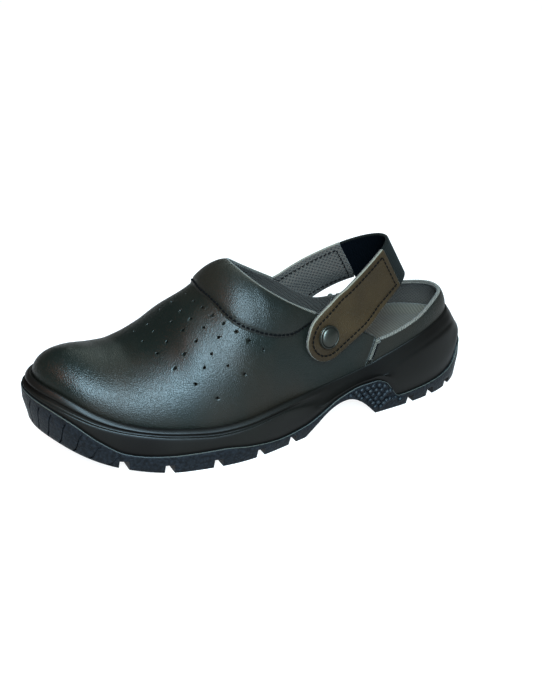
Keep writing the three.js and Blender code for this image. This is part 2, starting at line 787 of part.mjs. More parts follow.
function elasticGeometry() {
  const start = leatherLength(1) + CLEARANCE;
  const end = strapLength - leatherLength(-1) - CLEARANCE;
  const steps = 12;
  const stations = Array.from({ length: steps + 1 }, (_, i) => mix(start, end, i / steps));
  const rest = (STRAP_THICKNESS - ELASTIC_THICKNESS) / 2;
  const ribbon = ribbonGeometry(stations, () => STRAP_WIDTH - 1, ELASTIC_THICKNESS, 1, rest);
  return toGeometry(toSolid(ribbon));
}

// Stud: a domed cap and a pin through the strap into the upper
function studGeometry(side) {
  const place = studPlace(side);
  const axis = studAxis(side);
  const heights = Array.from({ length: 12 }, (_, i) => {
    const angle = (i * Math.PI) / 6;
    const distance = STUD_CAP_RADIUS * Math.cos(angle);
    const across = STUD_CAP_RADIUS * Math.sin(angle);
    return strapPoint(distance, across, STRAP_THICKNESS, side).sub(place).dot(axis);
  });
  const base = Math.max(...heights) + CLEARANCE;
  const tip = LINING_THICKNESS + CLEARANCE - UPPER_WALL;
  const profile = [
    [0, tip],
    [STUD_PIN_RADIUS, tip],
    [STUD_PIN_RADIUS, base],
    [STUD_CAP_RADIUS, base],
    [STUD_CAP_RADIUS, base + 0.3 * STUD_CAP_HEIGHT],
    [0.9 * STUD_CAP_RADIUS, base + 0.62 * STUD_CAP_HEIGHT],
    [0.6 * STUD_CAP_RADIUS, base + 0.9 * STUD_CAP_HEIGHT],
    [0, base + STUD_CAP_HEIGHT],
  ];
  const lathe = new THREE.LatheGeometry(profile.map(([r, y]) => new THREE.Vector2(r, y)), 20);
  return toGeometry(toSolid(alongAxis(lathe, side)));
}

function gussetGeometry(side) {
  const foot = edgeAt(SLIT_FOOT_ALONG) + 3 * CLEARANCE;
  const outer = formSolid(GUSSET_PROUD, cupFloorAt);
  const inner = formSolid(GUSSET_PROUD - GUSSET_THICKNESS, (s) => cupFloorAt(s) - 1);
  const strip = slitPrism(SLIT_WIDTH - 2 * CLEARANCE, foot, 0, side);
  return toGeometry(outer.subtract(inner).intersect(strip));
}

function upperGeometry() {
  const outer = formSolid(0, (s) => cupFloorAt(s) + CLEARANCE);
  const inner = formSolid(-UPPER_WALL, (s) => cupFloorAt(s) - UPPER_WALL);
  let solid = outer.subtract(inner);
  for (const side of [1, -1]) {
    solid = solid.subtract(toplinePrism(side));
    solid = solid.subtract(slitPrism(SLIT_WIDTH, edgeAt(SLIT_FOOT_ALONG) - CLEARANCE, SLIT_WIDTH, side));
    solid = solid.subtract(studHole(side));
  }
  return toGeometry(solid);
}

// Collar pad: a crescent over the vamp, thick in the middle and thin along its seams
const seamAlong = flowing(PAD_SEAM, 'along', 'turn');
const seamGirth = flowing(PAD_SEAM, 'girth', 'turn');

// The girth at which the top line crosses the form over x
function toplineGirth(x, side) {
  let low = 0;
  let high = 1;
  for (let i = 0; i < 24; i += 1) {
    const girth = (low + high) / 2;
    if (formPoint(angleOver(x, girth, side), girth).z > toplineAt(x, side)) high = girth;
    else low = girth;
  }
  return (low + high) / 2;
}

function apexX() {
  let low = PAD_TIP_ALONG * LENGTH;
  let high = 0.62 * LENGTH;
  for (let i = 0; i < 30; i += 1) {
    const x = (low + high) / 2;
    if (ridgeAt(x / LENGTH) > toplineAt(x, 1)) low = x;
    else high = x;
  }
  return (low + high) / 2;
}

function padGeometry() {
  const rowsPerSide = 14;
  const columns = 6;
  const tip = PAD_TIP_ALONG * LENGTH + 2;
  const apex = apexX() + PAD_MARGIN;
  const rowAt = (turnShare, side, outer) => {
    const topX = mix(tip, apex, Math.sin((turnShare * Math.PI) / 2));
    const topGirth = turnShare === 1 ? 1 : toplineGirth(topX, side);
    const lowX = seamAlong(turnShare) * LENGTH;
    const lowGirth = seamGirth(turnShare);
    const row = [];
    for (let j = 0; j <= columns; j += 1) {
      const share = mix(0.03, 1, j / columns);
      const girth = mix(topGirth, lowGirth, share);
      const x = mix(topX, lowX, share);
      const crown = Math.sin(Math.PI * (j / columns)) ** 0.6 * ease(0, 0.4, turnShare);
      const lift = outer ? PAD_SEAT + mix(PAD_EDGE, PAD_THICKNESS, crown) : PAD_SEAT;
      row.push(formPoint(angleOver(x, girth, side), girth, lift));
    }
    return row;
  };
  const turns = Array.from({ length: rowsPerSide + 1 }, (_, i) => i / rowsPerSide);
  const around = (outer) => [
    ...turns.map((share) => rowAt(share, 1, outer)),
    ...turns.slice(0, -1).reverse().map((share) => rowAt(share, -1, outer)),
  ];
  const inner = around(false);
  const outer = around(true);
  const skin = new Skin();
  const last = inner.length - 1;
  skin.sheet(outer);
  skin.sheet(inner, true);
  skin.sheet([inner[0], outer[0]]);
  skin.sheet([outer[last], inner[last]]);
  skin.sheet([inner.map((row) => row[0]), outer.map((row) => row[0])], true);
  skin.sheet([inner.map((row) => row[columns]), outer.map((row) => row[columns])]);
  return toGeometry(toSolid(skin.geometry()));
}

// Materials
const finish = (color, roughness, metalness = 0) => (
  new THREE.MeshStandardMaterial({ color, roughness, metalness })
);
const rubber = finish('#1b1e24', 0.75);
const foam = finish('#23252a', 0.55);
const leather = finish('#26241f', 0.42);
const strapLeather = finish('#3a352b', 0.45);
const lining = finish('#8d8c8b', 0.95);
const webbing = finish('#20242b', 0.8);
const gunmetal = finish('#35383c', 0.3, 0.9);

const sandal = new THREE.Group();
function addPiece(name, geometry, material) {
  const mesh = new THREE.Mesh(geometry, material);
  mesh.name = name;
  sandal.add(mesh);
}

addPiece('outsole', outsoleGeometry(), rubber);
addPiece('midsole', midsoleGeometry(), foam);
addPiece('insole', insoleGeometry(), lining);
addPiece('upper', upperGeometry(), leather);
addPiece('collar_pad', padGeometry(), leather);
addPiece('strap_outer_side', strapGeometry(1), strapLeather);
addPiece('strap_inner_side', strapGeometry(-1), strapLeather);
addPiece('strap_elastic', elasticGeometry(), webbing);
addPiece('stud_outer_side', studGeometry(1), gunmetal);
addPiece('stud_inner_side', studGeometry(-1), gunmetal);
addPiece('gusset_outer_side', gussetGeometry(1), lining);
addPiece('gusset_inner_side', gussetGeometry(-1), lining);

// The origin is under the middle of the whole shoe, on the floor
const bounds = new THREE.Box3().setFromObject(sandal);
const middle = bounds.getCenter(new THREE.Vector3());
sandal.position.set(-middle.x, -middle.y, -bounds.min.z);
sandal.updateMatrixWorld(true);

export default sandal;
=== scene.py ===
"""A closed-toe safety sandal for the left foot: the looks of its leather, sole, strap and linings.

Lengths are in millimetres in the shoe's own frame, with the back of the heel at x = 0, and one
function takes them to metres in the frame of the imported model.
"""

import logging
import math
from dataclasses import dataclass, field
from enum import Enum

import bmesh
import bpy
import numpy as np
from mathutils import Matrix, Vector


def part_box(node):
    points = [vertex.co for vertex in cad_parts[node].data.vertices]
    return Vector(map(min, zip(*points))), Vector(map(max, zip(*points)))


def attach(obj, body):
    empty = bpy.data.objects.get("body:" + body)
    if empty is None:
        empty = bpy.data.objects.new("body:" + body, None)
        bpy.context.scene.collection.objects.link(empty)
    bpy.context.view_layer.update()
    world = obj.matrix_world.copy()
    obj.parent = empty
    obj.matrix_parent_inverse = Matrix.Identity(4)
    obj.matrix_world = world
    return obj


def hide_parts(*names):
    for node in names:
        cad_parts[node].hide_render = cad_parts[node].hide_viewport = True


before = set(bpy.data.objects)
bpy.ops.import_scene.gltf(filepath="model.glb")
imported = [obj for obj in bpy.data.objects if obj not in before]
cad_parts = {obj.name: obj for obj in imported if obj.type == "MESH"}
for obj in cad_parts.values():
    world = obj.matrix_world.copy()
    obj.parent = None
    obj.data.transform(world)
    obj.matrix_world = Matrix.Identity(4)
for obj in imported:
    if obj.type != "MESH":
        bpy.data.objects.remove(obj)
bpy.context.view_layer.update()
LOG = logging.getLogger("sandal")
Array = np.ndarray
MM = 0.001
UP = np.array([0.0, 0.0, 1.0])

# Place along the shoe, half width and sideways shift: shares of length, ball width and ball width
OUTLINE = np.array([
    (0.00, 0.000, -0.005), (0.02, 0.150, -0.006), (0.06, 0.230, -0.006), (0.12, 0.289, -0.005),
    (0.20, 0.324, 0.000), (0.30, 0.337, 0.011), (0.40, 0.360, 0.025), (0.50, 0.414, 0.032),
    (0.60, 0.470, 0.028), (0.70, 0.490, -0.006), (0.80, 0.458, -0.033), (0.88, 0.388, -0.048),
    (0.94, 0.289, -0.059), (0.98, 0.167, -0.079), (1.00, 0.000, -0.092),
])

# Place along the shoe, top edge of the sole and parting line between its layers: shares of side height
SIDE = np.array([
    (0.00, 0.990, 0.540), (0.02, 0.985, 0.500), (0.05, 0.970, 0.300), (0.09, 0.940, 0.225),
    (0.15, 0.875, 0.190), (0.212, 0.780, 0.175), (0.25, 0.720, 0.420), (0.275, 0.675, 0.475),
    (0.31, 0.635, 0.470), (0.37, 0.585, 0.390), (0.42, 0.560, 0.255), (0.46, 0.550, 0.180),
    (0.52, 0.535, 0.150), (0.60, 0.500, 0.200), (0.66, 0.490, 0.250), (0.75, 0.535, 0.245),
    (0.80, 0.580, 0.260), (0.85, 0.650, 0.310), (0.90, 0.760, 0.480), (0.94, 0.880, 0.670),
    (0.97, 0.960, 0.775), (1.00, 1.000, 0.850),
])

# Place along the shoe and height of the footbed's middle: share of bed height
BED = np.array([
    (0.00, 1.00), (0.12, 0.99), (0.25, 0.88), (0.35, 0.765), (0.45, 0.60), (0.55, 0.48),
    (0.65, 0.44), (0.75, 0.46), (0.85, 0.56), (0.93, 0.70), (1.00, 0.85),
])

# Place along the shoe, ridge height as a share of instep height, lean as a share of ball width, and
# how square the section is
RIDGE = np.array([
    (0.00, 0.640, 0.000, 2.00), (0.10, 0.675, 0.000, 2.00), (0.20, 0.780, 0.000, 2.20),
    (0.40, 0.970, -0.020, 2.30), (0.52, 1.000, -0.035, 2.15), (0.55, 0.980, -0.035, 2.10),
    (0.585, 0.937, -0.035, 2.10), (0.633, 0.841, -0.035, 2.10), (0.68, 0.763, -0.035, 2.10),
    (0.723, 0.668, -0.035, 2.10), (0.766, 0.605, -0.032, 2.10), (0.80, 0.580, -0.030, 2.10),
    (0.83, 0.585, -0.028, 2.10), (0.88, 0.615, -0.020, 2.00), (0.92, 0.625, -0.012, 1.90),
    (1.00, 0.600, 0.000, 1.85),
])

# Place along the shoe and height of the top line on the outer and the inner side: instep heights
TOPLINE = np.array([
    (-0.05, 0.620, 0.620), (0.02, 0.600, 0.600), (0.09, 0.570, 0.575), (0.15, 0.520, 0.545),
    (0.21, 0.475, 0.530), (0.25, 0.458, 0.522), (0.27, 0.485, 0.520), (0.30, 0.540, 0.525),
    (0.35, 0.625, 0.590), (0.407, 0.710, 0.700), (0.47, 0.810, 0.810), (0.52, 0.905, 0.905),
    (0.563, 1.005, 1.005), (0.70, 1.360, 1.360),
])

# Share of the way round the collar, place along the shoe and girth of the pad's lower seam
PAD_SEAM = np.array([
    (0.00, 0.407, 0.389), (0.15, 0.436, 0.350), (0.27, 0.469, 0.325), (0.40, 0.505, 0.345),
    (0.60, 0.555, 0.440), (0.80, 0.600, 0.620), (1.00, 0.628, 1.000),
])

# Strap in its own plane: share of the reach back to the loop and share of the way between the studs
STRAP_PATH = np.array([
    (0.00, 0.000), (0.28, 0.050), (0.56, 0.145), (0.77, 0.260), (0.92, 0.390), (0.99, 0.500),
    (0.995, 0.585), (0.92, 0.670), (0.77, 0.745), (0.56, 0.825), (0.28, 0.915), (0.00, 1.000),
])

# Rows of air holes on the vamp: place of the row on the ridge, way round to its first hole, pitch,
# count, and how fast the row falls back (millimetres over the square of the way round)
HOLE_ROWS = np.array([
    (187.4, 5.8, 9.1, 7, 0.0077), (196.0, 7.2, 10.3, 4, 0.0085), (202.7, 9.4, 11.7, 6, 0.0064),
    (211.6, 5.2, 14.8, 4, 0.0065), (219.4, 7.4, 15.7, 5, 0.0057),
])

# The stud from its pin over the rolled rim and the groove to the top: share of radius, and height
CAP = np.array([
    (0.30, -2.60), (0.30, 0.00), (0.97, 0.00), (1.00, 0.30), (1.00, 0.70), (0.97, 1.15), (0.92, 1.35),
    (0.875, 1.2), (0.855, 0.85), (0.83, 1.25), (0.78, 1.75), (0.68, 2.20), (0.52, 2.60), (0.34, 2.86),
    (0.16, 2.98), (0.00, 3.00),
])

# Sections of each vamp half that end at the open throat
OPEN_SECTIONS = 81

# Places along the shoe of the tread's cross grooves, as shares of its length
GROOVES_ALONG = (0.063, 0.121, 0.179, 0.4925, 0.5745, 0.67, 0.769, 0.855)


def ease(start: float, end: float, value: Array) -> Array:
    """Smooth step: 0 at start, 1 at end, and level at both."""
    share = np.clip((np.asarray(value, float) - start) / (end - start), 0.0, 1.0)
    return share * share * (3.0 - 2.0 * share)


def mix(low: Array, high: Array, share: Array) -> Array:
    """The point a share of the way from low to high."""
    return low + (high - low) * share


def unit(vectors: Array) -> Array:
    """Vectors scaled to length one, along the last axis."""
    size = np.linalg.norm(vectors, axis=-1, keepdims=True)
    return vectors / np.maximum(size, 1e-9)


class Flow:
    """A cubic through a table's rows with no overshoot: each slope is the harmonic mean of its sides."""

    def __init__(self, at: Array, value: Array) -> None:
        """Works out the slope at each row.

        Args:
            at: places, rising.
            value: the value at each place.
        """
        self.at, self.value = at, value
        rise = np.diff(value) / np.diff(at)
        total = np.where(rise[:-1] * rise[1:] > 0, rise[:-1] + rise[1:], 1.0)
        inner = np.where(rise[:-1] * rise[1:] > 0, 2 * rise[:-1] * rise[1:] / total, 0.0)
        self.slope = np.concatenate([rise[:1], inner, rise[-1:]])

    def __call__(self, place: Array) -> Array:
        """Works out the Hermite cubic between the two rows beside each place.

        Args:
            place: places, held to the ends of the table.

        Returns:
            The value at each place.
        """
        x = np.clip(place, self.at[0], self.at[-1])
        i = np.clip(np.searchsorted(self.at, x, side="right") - 1, 0, len(self.at) - 2)
        width = self.at[i + 1] - self.at[i]
        t = (x - self.at[i]) / width
        start = (1 + 2 * t) * (1 - t) ** 2 * self.value[i] + t * (1 - t) ** 2 * width * self.slope[i]
        end = t * t * (3 - 2 * t) * self.value[i + 1] + t * t * (t - 1) * width * self.slope[i + 1]
        return start + end


class Bend:
    """A natural cubic spline over the turn acos(1 - 2 s) / pi, so that both ends close in round."""

    def __init__(self, along: Array, value: Array) -> None:
        """Solves for the bend at each row.

        Args:
            along: places as shares of the length.
            value: the value at each place.
        """
        self.at, self.value = self.turn(along), value
        step = np.diff(self.at)
        rise = np.diff(value) / step
        count = len(value)
        system = np.eye(count)
        right = np.zeros(count)
        for i in range(1, count - 1):
            system[i, i - 1:i + 2] = step[i - 1], 2 * (step[i - 1] + step[i]), step[i]
            right[i] = 6 * (rise[i] - rise[i - 1])
        self.bend = np.linalg.solve(system, right)

    @staticmethod
    def turn(along: Array) -> Array:
        """The share of a half turn that a place along the shoe stands for."""
        return np.arccos(1 - 2 * np.clip(along, 0.0, 1.0)) / np.pi

    def __call__(self, along: Array) -> Array:
        """Works out the cubic between the two rows beside each place.

        Args:
            along: places as shares of the length.

        Returns:
            The value at each place.
        """
        x = self.turn(along)
        i = np.clip(np.searchsorted(self.at, x, side="right") - 1, 0, len(self.at) - 2)
        width = self.at[i + 1] - self.at[i]
        a = (self.at[i + 1] - x) / width
        b = 1 - a
        curve = ((a ** 3 - a) * self.bend[i] + (b ** 3 - b) * self.bend[i + 1]) * width * width / 6
        return a * self.value[i] + b * self.value[i + 1] + curve


@dataclass(frozen=True)
class Last:
    """The form that upper and sole are worked out from, in millimetres."""

    length: float = 290.0
    ball_width: float = 112.0
    side_height: float = 50.0
    bed_height: float = 41.0
    instep_height: float = 104.0
    toe_spring: float = 18.0
    spring_start: float = 0.74
    spring_power: float = 1.6
    arch_lift: float = 17.0
    heel_breast: float = 0.27
    arch_top: float = 0.352
    tread_back: float = 0.459
    lip: float = 6.0
    heel_lean: float = 3.5
    clearance: float = 0.3
    toe_round: float = 30.0
    heel_round: float = 30.0
    half: Bend = field(default_factory=lambda: Bend(OUTLINE[:, 0], OUTLINE[:, 1]))
    shift: Bend = field(default_factory=lambda: Bend(OUTLINE[:, 0], OUTLINE[:, 2]))
    edge_share: Flow = field(default_factory=lambda: Flow(SIDE[:, 0], SIDE[:, 1]))
    parting_share: Flow = field(default_factory=lambda: Flow(SIDE[:, 0], SIDE[:, 2]))
    bed_share: Flow = field(default_factory=lambda: Flow(BED[:, 0], BED[:, 1]))
    ridge_share: Flow = field(default_factory=lambda: Flow(RIDGE[:, 0], RIDGE[:, 1]))
    lean_share: Flow = field(default_factory=lambda: Flow(RIDGE[:, 0], RIDGE[:, 2]))
    square: Flow = field(default_factory=lambda: Flow(RIDGE[:, 0], RIDGE[:, 3]))
    topline_outer: Flow = field(default_factory=lambda: Flow(TOPLINE[:, 0], TOPLINE[:, 1]))
    topline_inner: Flow = field(default_factory=lambda: Flow(TOPLINE[:, 0], TOPLINE[:, 2]))

    def edge(self, along: Array) -> Array:
        """Height of the sole's top edge."""
        return self.edge_share(along) * self.side_height

    def parting(self, along: Array) -> Array:
        """Height of the parting line between midsole and outsole."""
        return self.parting_share(along) * self.side_height

    def bed(self, along: Array) -> Array:
        """Height of the middle of the footbed."""
        return self.bed_share(along) * self.bed_height

    def topline(self, x: Array, side: Array) -> Array:
        """Height of the upper's top line over x.

        Args:
            x: place along the shoe.
            side: 1 for the outer side and -1 for the inner.

        Returns:
            Heights of the top line.
        """
        outer = self.topline_outer(x / self.length)
        inner = self.topline_inner(x / self.length)
        return np.where(np.asarray(side) > 0, outer, inner) * self.instep_height

    def spring(self, along: Array) -> Array:
        """Height of the underside: flat, then rising as a power of the way to the toe."""
        share = np.clip((along - self.spring_start) / (1 - self.spring_start), 0.0, 1.0)
        return self.toe_spring * share ** self.spring_power

    def arch(self, along: Array) -> Array:
        """Height of the waist's hollow: a quarter sine up from the heel and one down to the tread.

        Args:
            along: places as shares of the length.

        Returns:
            Heights of the hollow, 0 outside the waist.
        """
        back = (along - self.heel_breast) / (self.arch_top - self.heel_breast)
        front = (self.tread_back - along) / (self.tread_back - self.arch_top)
        share = np.clip(np.minimum(back, front), 0.0, 1.0)
        return self.arch_lift * np.sin(np.pi / 2 * share)

    def lip_inset(self, along: Array) -> Array:
        """How far the midsole's lip stands in from the outline, more round the heel."""
        return self.lip + self.heel_lean * ease(0.16, 0.0, along)

    def outline(self, angle: Array) -> Array:
        """Plan of the sole by angle: x = (1 + cos a) L / 2, y = shift +- half width.

        Args:
            angle: angles round the outline, 0 at the toe tip.

        Returns:
            Points with x and y along the last axis.
        """
        along = (1 + np.cos(angle)) / 2
        side = np.where(np.sin(angle) >= 0, 1.0, -1.0)
        y = (self.shift(along) + side * self.half(along)) * self.ball_width
        return np.stack([along * self.length, y], axis=-1)

    def ring(self, angle: Array, grow: Array, height: Array) -> Array:
        """The outline moved out by grow along its own normal, at a height.

        Args:
            angle: angles round the outline, 0 at the toe tip.
            grow: distance outwards at each angle.
            height: z at each angle.

        Returns:
            Points with x, y and z along the last axis.
        """
        step = 0.002
        run = unit(self.outline(angle + step) - self.outline(angle - step))
        base = self.outline(angle)
        x = base[..., 0] + run[..., 1] * grow
        y = base[..., 1] - run[..., 0] * grow
        return np.stack(np.broadcast_arrays(x, y, height), axis=-1)

    def crown(self, along: Array, grow: Array) -> Array:
        """Ridge point of a column, drawn in from both ends so that heel and toe close in caps.

        Args:
            along: places of the columns' feet as shares of the length.
            grow: distance outwards from the form.

        Returns:
            Points with x, y and z along the last axis.
        """
        x = along * self.length
        ahead = self.length - x
        inward = x + np.hypot(x, self.heel_round) - x - (np.hypot(ahead, self.toe_round) - ahead)
        share = np.clip(inward / self.length, 0.0, 1.0)
        y = (self.shift(share) + self.lean_share(share)) * self.ball_width
        z = self.ridge_share(share) * self.instep_height + grow
        return np.stack(np.broadcast_arrays(inward, y, z), axis=-1)

    def form(self, angle: Array, girth: Array, grow: Array = 0.0) -> Array:
        """The last's surface: each column is a quarter of a superellipse from the sole's edge up
        to the ridge, with exponents 2 / square.

        Args:
            angle: angle of the column's foot on the outline.
            girth: 0 at the sole's edge and 1 on the ridge.
            grow: distance outwards from the form.

        Returns:
            Points with x, y and z along the last axis.
        """
        angle, girth = np.broadcast_arrays(np.asarray(angle, float), np.asarray(girth, float))
        along = (1 + np.cos(angle)) / 2
        inset = self.lip_inset(along) + self.clearance
        foot = self.ring(angle, grow - inset, self.edge(along))
        crown = self.crown(along, grow)
        power = 2 / self.square(crown[..., 0] / self.length)
        across = np.cos(np.clip(girth, 0, 1) * np.pi / 2) ** power
        up = np.sin(np.clip(girth, 0, 1) * np.pi / 2) ** power
        point = crown + (foot - crown) * across[..., None]
        point[..., 2] = mix(foot[..., 2], crown[..., 2], up)
        return point

    def form_normal(self, angle: Array, girth: Array) -> Array:
        """Outward normal of the form, from differences along angle and girth.

        Args:
            angle: angle of the column.
            girth: way up the column.

        Returns:
            Unit vectors.
        """
        step = 0.004
        low, high = np.clip(girth - step, 0, 1), np.clip(girth + step, 0, 1)
        run = self.form(angle + step, girth) - self.form(angle - step, girth)
        rise = self.form(angle, high) - self.form(angle, low)
        return unit(np.cross(run, rise))

    def angle_over(self, x: Array, girth: Array, side: Array, grow: Array = 0.0) -> Array:
        """Angle of the column that passes over x at a girth, found by halving.

        Args:
            x: place along the shoe.
            girth: way up the column.
            side: 1 for the outer side and -1 for the inner.
            grow: distance outwards from the form.

        Returns:
            Signed angles.
        """
        x, girth, side = np.broadcast_arrays(x, girth, side)
        low, high = np.zeros(x.shape), np.full(x.shape, np.pi)
        for _ in range(30):
            middle = (low + high) / 2
            ahead = self.form(side * middle, girth, grow)[..., 0] > x
            low, high = np.where(ahead, middle, low), np.where(ahead, high, middle)
        return side * (low + high) / 2

    def over(self, x: Array, z: Array, side: Array) -> tuple[Array, Array]:
        """Angle and girth of the form's point seen from the side at x and z, found by halving.

        Args:
            x: place along the shoe.
            z: height.
            side: 1 for the outer side and -1 for the inner.

        Returns:
            Signed angles and girths.
        """
        x, z, side = np.broadcast_arrays(x, z, side)
        low, high = np.zeros(x.shape), np.ones(x.shape)
        for _ in range(20):
            girth = (low + high) / 2
            above = self.form(self.angle_over(x, girth, side), girth)[..., 2] > z
            low, high = np.where(above, low, girth), np.where(above, girth, high)
        girth = (low + high) / 2
        return self.angle_over(x, girth, side), girth

    def top_girth(self, angle: Array, grow: float = 0.0, lift: float = 0.0) -> Array:
        """Girth at which a column meets the top line raised by lift, or 1 where it stays under.

        Args:
            angle: angle of the column.
            grow: distance outwards from the form.
            lift: height over the top line.

        Returns:
            Girths.
        """
        low, high = np.zeros(np.shape(angle)), np.ones(np.shape(angle))
        side = np.where(np.sin(angle) >= 0, 1.0, -1.0)
        for _ in range(26):
            girth = (low + high) / 2
            point = self.form(angle, girth, grow)
            above = point[..., 2] > self.topline(point[..., 0], side) + lift
            low, high = np.where(above, low, girth), np.where(above, girth, high)
        girth = (low + high) / 2
        return np.where(girth > 1 - 1e-6, 1.0, girth)


LAST = Last()


class Place:
    """Takes millimetres of the shoe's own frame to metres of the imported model's."""

    def __init__(self) -> None:
        """Finds the sideways step between the two frames from the midsole's box."""
        low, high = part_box("midsole")
        dense = LAST.outline(np.linspace(0, 2 * np.pi, 2000))[:, 1]
        self.step = np.array([
            low[0] / MM,
            (low[1] + high[1]) / 2 / MM - (dense.min() + dense.max()) / 2,
            0.0,
        ])

    def to_frame(self, points: Array) -> Array:
        """Returns points in metres in the model's frame."""
        return (points + self.step) * MM


PLACE = Place()


class MeshParts:
    """Collects grids of points in millimetres and makes them into one welded mesh."""

    def __init__(self) -> None:
        """Starts empty."""
        self.points: list[Array] = []
        self.quads: list[Array] = []
        self.maps: list[Array] = []
        self.slots: list[Array] = []
        self.count = 0

    def grid(self, points: Array, flip: bool = False, wrap: bool = False, slot: int = 0,
             uv: Array | None = None) -> None:
        """Adds a grid of points as quads.

        Args:
            points: rows by columns by 3.
            flip: turns the faces over.
            wrap: joins the last row to the first.
            slot: material slot of the faces.
            uv: rows by columns by 2, in millimetres; lengths along the grid where it is left out.
        """
        rows, columns = points.shape[:2]
        uv = surface_lengths(points) if uv is None else uv
        if wrap:
            points = np.concatenate([points, points[:1]])
            closing = uv[-1:] + (uv[-1:] - uv[-2:-1])
            uv = np.concatenate([uv, closing])
            rows += 1
        index = np.arange(rows * columns).reshape(rows, columns) + self.count
        quads = np.stack([index[:-1, :-1], index[1:, :-1], index[1:, 1:], index[:-1, 1:]], axis=-1)
        quads = quads.reshape(-1, 4)
        self.quads.append(quads[:, ::-1] if flip else quads)
        self.points.append(points.reshape(-1, 3))
        self.maps.append(uv.reshape(-1, 2))
        self.slots.append(np.full(len(quads), slot))
        self.count += rows * columns

    def rim(self, outer: Array, inner: Array, away: Array, steps: int = 5, slot: int = 0,
            wrap: bool = False, flip: bool = False) -> None:
        """Joins two borders by a half round: centre + half the gap times cos, away times sin.

        Args:
            outer: border points of the outer sheet.
            inner: border points of the inner sheet.
            away: vectors out of the sheet at the border, as long as the bulge.
            steps: faces round the half circle.
            slot: material slot of the faces.
            wrap: the border is closed.
            flip: turns the faces over.
        """
        turn = np.linspace(0, np.pi, steps + 1)[None, :, None]
        centre = (outer + inner)[:, None] / 2
        reach = (outer - inner)[:, None] / 2
        fade = np.ones(len(outer))
        if not wrap:
            fade[0] = fade[-1] = 0
        strip = centre + reach * np.cos(turn) + (away * fade[:, None])[:, None] * np.sin(turn)
        self.grid(strip, flip=flip, wrap=wrap, slot=slot)

    def shell(self, outer: Array, inner: Array, wrap: bool = False, slots: tuple[int, int, int] = (0, 0, 0),
              bulge: float = 1.0, uv: Array | None = None) -> None:
        """Adds a wall between two grids, with half-round rims at its open borders.

        Args:
            outer: the outer grid.
            inner: the inner grid, of the same shape.
            wrap: rows run round and close.
            slots: material slots of the outer face, inner face and rims.
            bulge: height of the rims' rounding as a share of half the wall.
            uv: map of both faces, in millimetres.
        """
        self.grid(outer, wrap=wrap, slot=slots[0], uv=uv)
        self.grid(inner, wrap=wrap, flip=True, slot=slots[1], uv=uv)
        half = np.linalg.norm(outer - inner, axis=-1, keepdims=True) / 2 * bulge
        for end, inward, turn in ((0, 1, True), (-1, -2, False)):
            away = unit(outer[:, end] - outer[:, inward]) * half[:, end]
            self.rim(outer[:, end], inner[:, end], away, slot=slots[2], wrap=wrap, flip=turn)
            if not wrap:
                away = unit(outer[end] - outer[inward]) * half[end]
                self.rim(outer[end], inner[end], away, slot=slots[2], flip=not turn)

    def build(self, name: str, materials: list[bpy.types.Material]) -> bpy.types.Object:
        """Makes the mesh object, welds its seams and turns its faces outwards.

        Args:
            name: name of the object.
            materials: one material for each slot.

        Returns:
            The finished object, at the origin.
        """
        points = PLACE.to_frame(np.concatenate(self.points))
        quads = np.concatenate(self.quads)
        corners = points[quads]
        middle = points.mean(axis=0)
        a, b, c, d = (corners[:, i] - middle for i in range(4))
        volume = np.einsum("ij,ij->", a, np.cross(b, c)) + np.einsum("ij,ij->", a, np.cross(c, d))
        if volume < 0:
            quads = quads[:, ::-1]
        mesh = bpy.data.meshes.new(name)
        mesh.from_pydata(points, [], quads)
        mesh.polygons.foreach_set("material_index", np.concatenate(self.slots).astype(np.int32))
        uv_map = mesh.uv_layers.new(name="UVMap")
        maps = np.concatenate(self.maps)[quads.reshape(-1)] * MM
        uv_map.data.foreach_set("uv", maps.astype(np.float32).reshape(-1))
        for material in materials:
            mesh.materials.append(material)
        weld(mesh)
        piece = bpy.data.objects.new(name, mesh)
        bpy.context.scene.collection.objects.link(piece)
        return piece


def surface_lengths(points: Array) -> Array:
    """Lengths along a grid's rows and columns, as a map in millimetres.

    Args:
        points: rows by columns by 3.

    Returns:
        Rows by columns by 2.
    """
    u = np.zeros(points.shape[:2])
    v = np.zeros(points.shape[:2])
    u[1:] = np.cumsum(np.linalg.norm(np.diff(points, axis=0), axis=-1), axis=0)
    v[:, 1:] = np.cumsum(np.linalg.norm(np.diff(points, axis=1), axis=-1), axis=1)
    return np.stack([u.mean(axis=1)[:, None] + np.zeros_like(u), v], axis=-1)


def weld(mesh: bpy.types.Mesh) -> None:
    """Merges a mesh's doubles, drops its degenerate faces and shades it smooth.

    Args:
        mesh: the mesh that is changed.
    """
    work = bmesh.new()
    work.from_mesh(mesh)
    bmesh.ops.remove_doubles(work, verts=work.verts, dist=4e-6)
    bmesh.ops.dissolve_degenerate(work, edges=work.edges, dist=1e-6)
    for face in work.faces:
        face.smooth = True
    work.to_mesh(mesh)
    work.free()


def outward(piece: bpy.types.Object) -> bpy.types.Object:
    """Turns the faces of each closed part of a piece outwards.

    Args:
        piece: an object with a closed mesh.

    Returns:
        The same object.
    """
    work = bmesh.new()
    work.from_mesh(piece.data)
    bmesh.ops.recalc_face_normals(work, faces=work.faces)
    work.to_mesh(piece.data)
    work.free()
    return piece


def apply_modifiers(piece: bpy.types.Object) -> None:
    """Bakes a piece's modifiers into its mesh.

    Args:
        piece: the object that is changed.
    """
    graph = bpy.context.evaluated_depsgraph_get()
    baked = bpy.data.meshes.new_from_object(piece.evaluated_get(graph))
    piece.modifiers.clear()
    piece.data = baked


def cut(piece: bpy.types.Object, tool: bpy.types.Object) -> None:
    """Takes a closed tool away from a piece and drops the tool.

    Args:
        piece: the object that is cut.
        tool: what it is cut with.
    """
    modifier = piece.modifiers.new("cut", "BOOLEAN")
    modifier.operation = "DIFFERENCE"
    modifier.solver = "EXACT"
    modifier.object = tool
    apply_modifiers(piece)
    bpy.data.objects.remove(tool)


